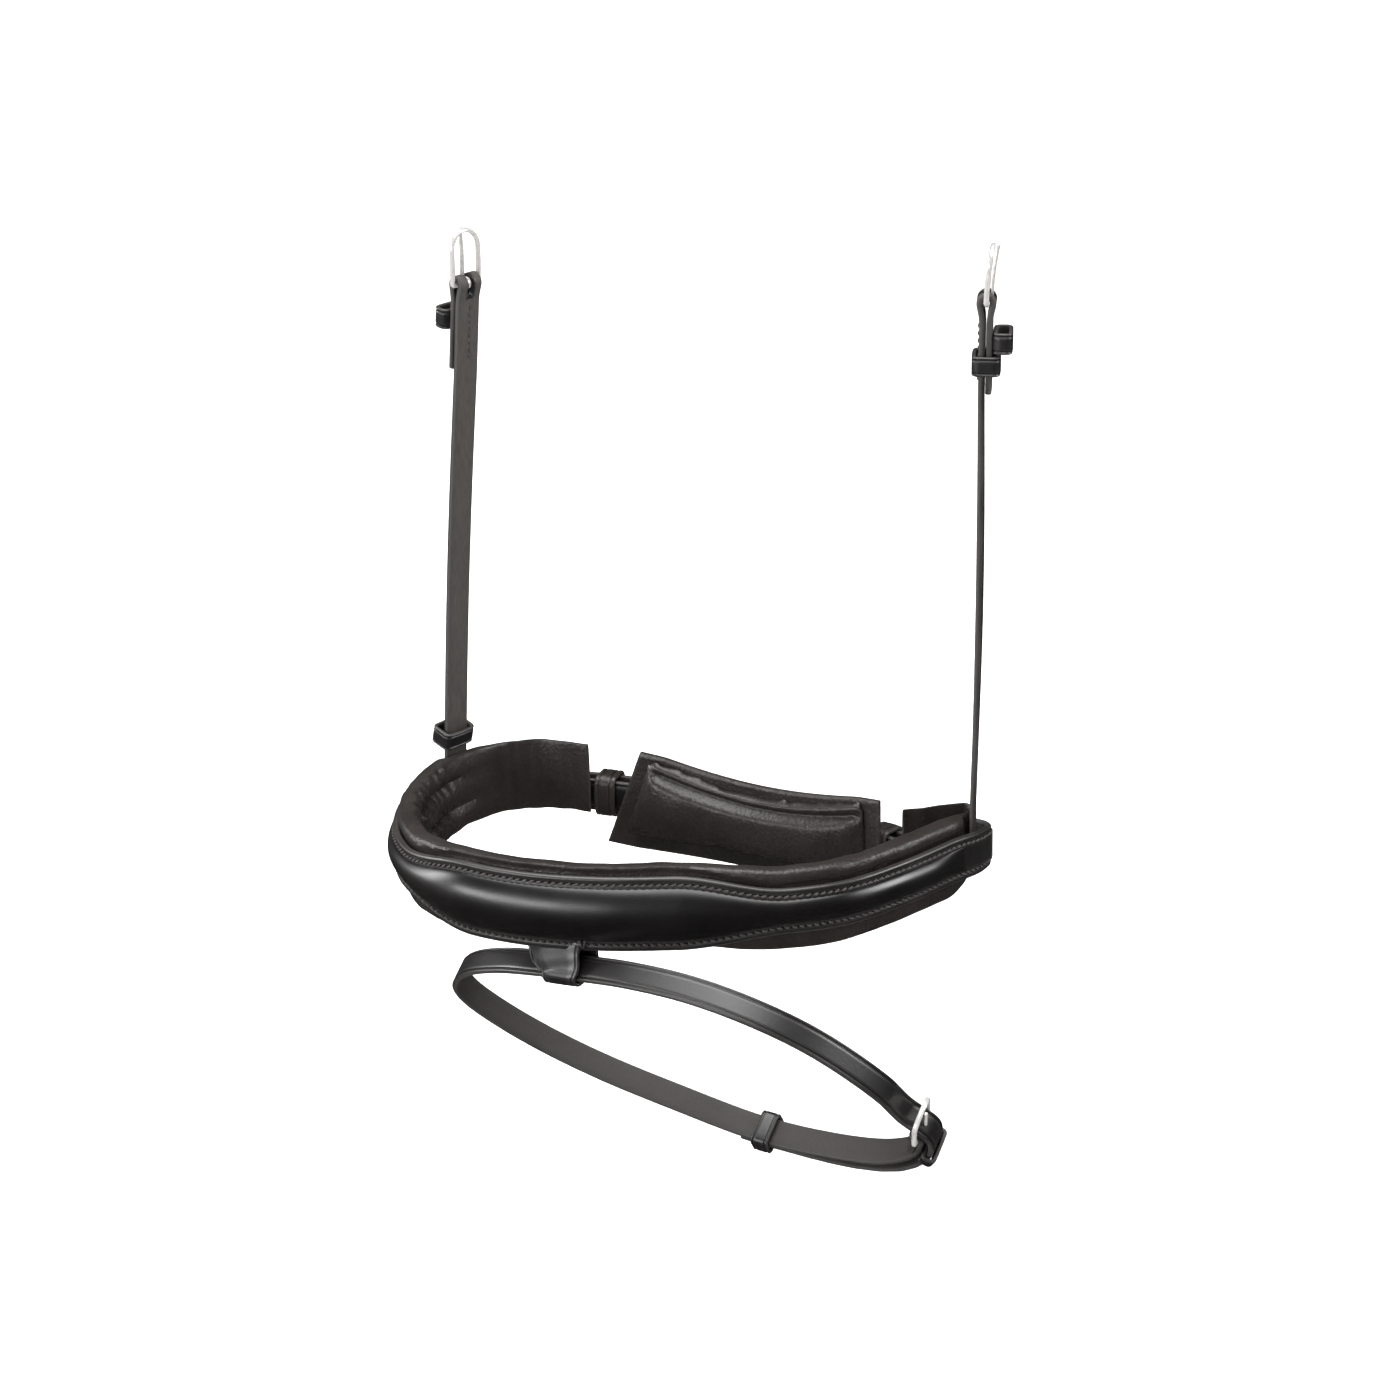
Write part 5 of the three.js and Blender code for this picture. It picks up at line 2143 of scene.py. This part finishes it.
@dataclass
class Flash:
    """Narrow strap below the nosepiece, in its own leaning plane, with its keeper.

    Args:
        knot: middle of the strap's loop, from the drawing's origin.
        normal: of the strap's plane.
        side_tilt: degrees that the plane tips to the right.
        width: of the strap.
        runner_u: where its loose runner sits.
        keeper_share: share of the strap's length at the keeper.
        keeper_past: how far past that the keeper sits.
        seat_station: of the keeper's sewn end on the nosepiece.
        head_half: half of the keeper's width at its sewn end.
        foot_half: half of its width at the strap.
    """

    knot: Array = field(default_factory=lambda: np.array([-3.5, 5.2, -27.4]))
    normal: Array = field(default_factory=lambda: unit(np.array([0.086, 0.785, 0.613])))
    side_tilt: float = 8.0
    width: float = 12.0
    runner_u: float = 112
    keeper_share: float = 0.615
    keeper_past: float = 22.3
    seat_station: float = 29.7
    head_half: float = 15.0
    foot_half: float = 8.2

    def place(self) -> Place:
        """Plane of the strap.

        Returns:
            Its place, with the drawing's x and y as out and along.
        """
        a = math.radians(self.side_tilt)
        across = np.array([math.cos(a), 0, -math.sin(a)])
        across = unit(across - self.normal * across.dot(self.normal))
        return Place(self.knot - REST, across, np.cross(self.normal, across))

    def spot(self, u: float, v: float) -> Array:
        """Flat point u along the strap from the buckle's bar, v outward."""
        return FLASH_LINE.offset(u, v)

    def strap(self) -> BuckledStrap:
        """The strap, ready to build or to measure along."""
        return BuckledStrap("flash", "flash", self.width, self.runner_u, self.spot, self.place())

    def build_strap(self) -> None:
        """The strap, its buckle and its loops."""
        strap = self.strap()
        reach = FLASH_LINE.length - 30
        bowed = [(30, 5.6), (42, 6.4), (55, 6.6), (68, 6.2), (80, 5.2), (92, 3.8)]
        path = [
            *strap.folded_end(),
            *[self.spot(u, 0) for u in np.arange(18, reach, 4.0)],
            *strap.free_end([*bowed, *[(u, strap.layer) for u in (100, 111, 122)]]),
        ]
        strap.build_strap(path, "flash_strap")
        strap.build_fittings()

    def build_keeper(self) -> None:
        """The flat loop that the strap hangs in, sewn up behind the nosepiece."""
        at = self.strap().local(FLASH_LINE.length * self.keeper_share + self.keeper_past)
        upward = 1.0 if at.across[2] > 0 else -1.0
        heading = np.array([*NOSE_LINE.heading(self.seat_station * STATION), 0.0])
        out = np.array([heading[1], -heading[0], 0.0])
        if heading.dot(at.along) < 0:
            heading = -heading
        seat = NOSE_LINE.offset(self.seat_station * STATION, -NOSE_STRAP - 1.9)
        top, foot = upright(*seat, -3.0), upright(*seat, -16.5)
        leg, wrap, edge = 0.95, 2.7, 5.7
        front = at.point(wrap + 0.6, 0, -3.6 * upward)
        turn = [
            at.point(wrap * math.cos(a), 0, -upward * (edge + 1.9 * math.sin(a)))
            for a in np.linspace(0, math.pi, 9)
        ]
        spine = resample(
            [
                top + leg * out,
                foot + leg * out,
                (foot + front) / 2 + 0.9 * out,
                front,
                *turn,
                at.point(-wrap, 0, edge * upward),
                at.point(-wrap * 0.6, 0, (edge + 2.0) * upward),
                foot - leg * out,
                top - leg * out,
            ],
            0.8,
        )
        outs, sides, profiles = [], [], []
        for k, (point, direction) in enumerate(zip(spine, tangents(spine))):
            height = (point - at.origin).dot(at.across) * upward
            side = mix(at.along, heading, ease(height, 3, 13))
            side = unit(side - direction * side.dot(direction))
            outs.append(np.cross(direction, side))
            sides.append(side)
            half = mix(self.foot_half, self.head_half, min(max((height + 8) / 14, 0.0), 1.0))
            half *= mix(1.0, 0.72, ease(k / len(spine), 0.45, 0.65))
            profiles.append(strap_profile(1.6, half, 1.6, 0.38, 0.6, flesh=False))
        flip = 1.0 if outs[2].dot(out) > 0 else -1.0
        keeper = sweep("flash_loop", spine, flip * np.array(outs), flip * np.array(sides), profiles)
        dress(keeper, FINISH.bridle)
        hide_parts("flash_keeper", "flash_keeper_tab")
        start, end = foot * MM, at.point(0, 0, 4 * upward) * MM
        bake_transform(keeper)
        log.info("%s bends from noseband to flash", keeper.name)

    def build(self) -> None:
        """Builds the flash."""
        self.build_strap()
        self.build_keeper()


# ---------------------------------------------------------------- studio


@dataclass(frozen=True)
class SoftLight:
    """A rectangular light aimed at the middle of the noseband.

    Args:
        name: of the light.
        where: it stands, in metres from the middle.
        size: of its face, in metres.
        power: in watts.
    """

    name: str
    where: tuple[float, float, float]
    size: tuple[float, float]
    power: float


@dataclass
class Studio:
    """Pale floor, soft lights and the camera.

    Args:
        target: point that the camera and the lights aim at.
        azimuth: of the camera, in degrees.
        elevation: of the camera, in degrees.
        distance: of the camera from the target.
        roll: of the camera, in degrees.
        lens: focal length.
        drop: how far the floor lies below the flash, in metres.
        lights: the soft lights.
    """

    target: Array = field(default_factory=lambda: np.array([27.71, 67.88, 68.02]))
    azimuth: float = 25.0
    elevation: float = 21.0
    distance: float = 1400.0
    roll: float = -1.5
    lens: float = 85.7
    drop: float = 0.042
    lights: tuple[SoftLight, ...] = (
        SoftLight("key", (-0.80, -1.80, 0.36), (2.3, 0.40), 31),
        SoftLight("overhead_panel", (-0.1, -0.2, 2.0), (2.4, 1.5), 75),
        SoftLight("rim", (1.7, 0.5, 0.9), (0.35, 1.0), 22),
        SoftLight("left", (-1.9, -0.3, 0.5), (0.5, 0.8), 20),
    )

    def build_camera(self) -> None:
        """The camera, level with the nosepiece's right front."""
        a, e, r = (math.radians(v) for v in (self.azimuth, self.elevation, self.roll))
        back = np.array([math.sin(a) * math.cos(e), -math.cos(a) * math.cos(e), math.sin(e)])
        right = np.array([math.cos(a), math.sin(a), 0.0])
        up = np.cross(back, right)
        turned = math.cos(r) * right + math.sin(r) * up
        upward = math.cos(r) * up - math.sin(r) * right
        data = bpy.data.cameras.new("camera")
        data.lens = self.lens
        data.sensor_width = 36
        camera = bpy.data.objects.new("camera", data)
        where = (self.target + back * self.distance) * MM
        columns = np.column_stack([turned, upward, back])
        camera.matrix_world = Matrix.Translation(Vector(where)) @ Matrix(columns.tolist()).to_4x4()
        bpy.context.scene.collection.objects.link(camera)
        bpy.context.scene.camera = camera

    def build_light(self, soft: SoftLight) -> None:
        """One soft light, aimed at the target.

        Args:
            soft: what it is like and where it stands.
        """
        data = bpy.data.lights.new(soft.name, "AREA")
        data.shape = "RECTANGLE"
        data.size, data.size_y = soft.size
        data.energy = soft.power
        light = bpy.data.objects.new(soft.name, data)
        light.location = Vector(self.target * MM) + Vector(soft.where)
        light.rotation_euler = (-Vector(soft.where)).to_track_quat("-Z", "Y").to_euler()
        bpy.context.scene.collection.objects.link(light)

    def build_sun(self) -> None:
        """A wide soft light from above that keeps the floor evenly white."""
        data = bpy.data.lights.new("overhead", "SUN")
        data.energy = 0.9
        data.angle = math.radians(70)
        sun = bpy.data.objects.new("overhead", data)
        sun.rotation_euler = (math.radians(12), math.radians(-8), 0)
        sun.visible_glossy = False
        bpy.context.scene.collection.objects.link(sun)

    def build_floor(self) -> None:
        """A wide pale floor, low enough for the flash to swing down above it."""
        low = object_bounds()[0][2] - self.drop
        reach = 6.0
        corners = [(x * reach, y * reach, low) for x, y in ((-1, -1), (1, -1), (1, 1), (-1, 1))]
        mesh = bpy.data.meshes.new("floor")
        mesh.from_pydata(corners, [], [(0, 1, 2, 3)])
        floor = bpy.data.objects.new("floor", mesh)
        floor.visible_glossy = False
        bpy.context.scene.collection.objects.link(floor)
        board = NodeBoard("pale_floor")
        board.shader.inputs["Base Color"].default_value = (0.93, 0.93, 0.93, 1)
        board.shader.inputs["Roughness"].default_value = 0.9
        mesh.materials.append(board.material)
        floor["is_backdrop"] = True

    def build_sky(self) -> None:
        """Even white light all round."""
        world = bpy.data.worlds.new("white_room")
        world.use_nodes = True
        backdrop = world.node_tree.nodes["Background"]
        backdrop.inputs["Color"].default_value = (1, 1, 1, 1)
        backdrop.inputs["Strength"].default_value = 0.85
        bpy.context.scene.world = world
        world.cycles_visibility.glossy = False
        bpy.context.scene.view_settings.view_transform = "Standard"

    def build(self) -> None:
        """Builds the studio."""
        self.build_camera()
        self.build_sky()
        self.build_sun()
        for soft in self.lights:
            self.build_light(soft)
        self.build_floor()


def main() -> None:
    """Builds the noseband and its studio."""
    logging.basicConfig(level=logging.INFO, format="%(name)s: %(message)s")
    Nosepiece().build()
    EndFittings().build()
    ChinStrap().build()
    JawPad().build()
    Flash().build()
    left, right = CHEEK_STATIONS
    CheekHanger("left", left, runner_y=5.4, runner_tilt=8.0, bow=1.2, twist=0.0).build()
    CheekHanger("right", right, runner_y=193.0, runner_tilt=0.0, bow=1.0, twist=2.5).build()
    Studio().build()


if __name__ == "__main__":
    main()
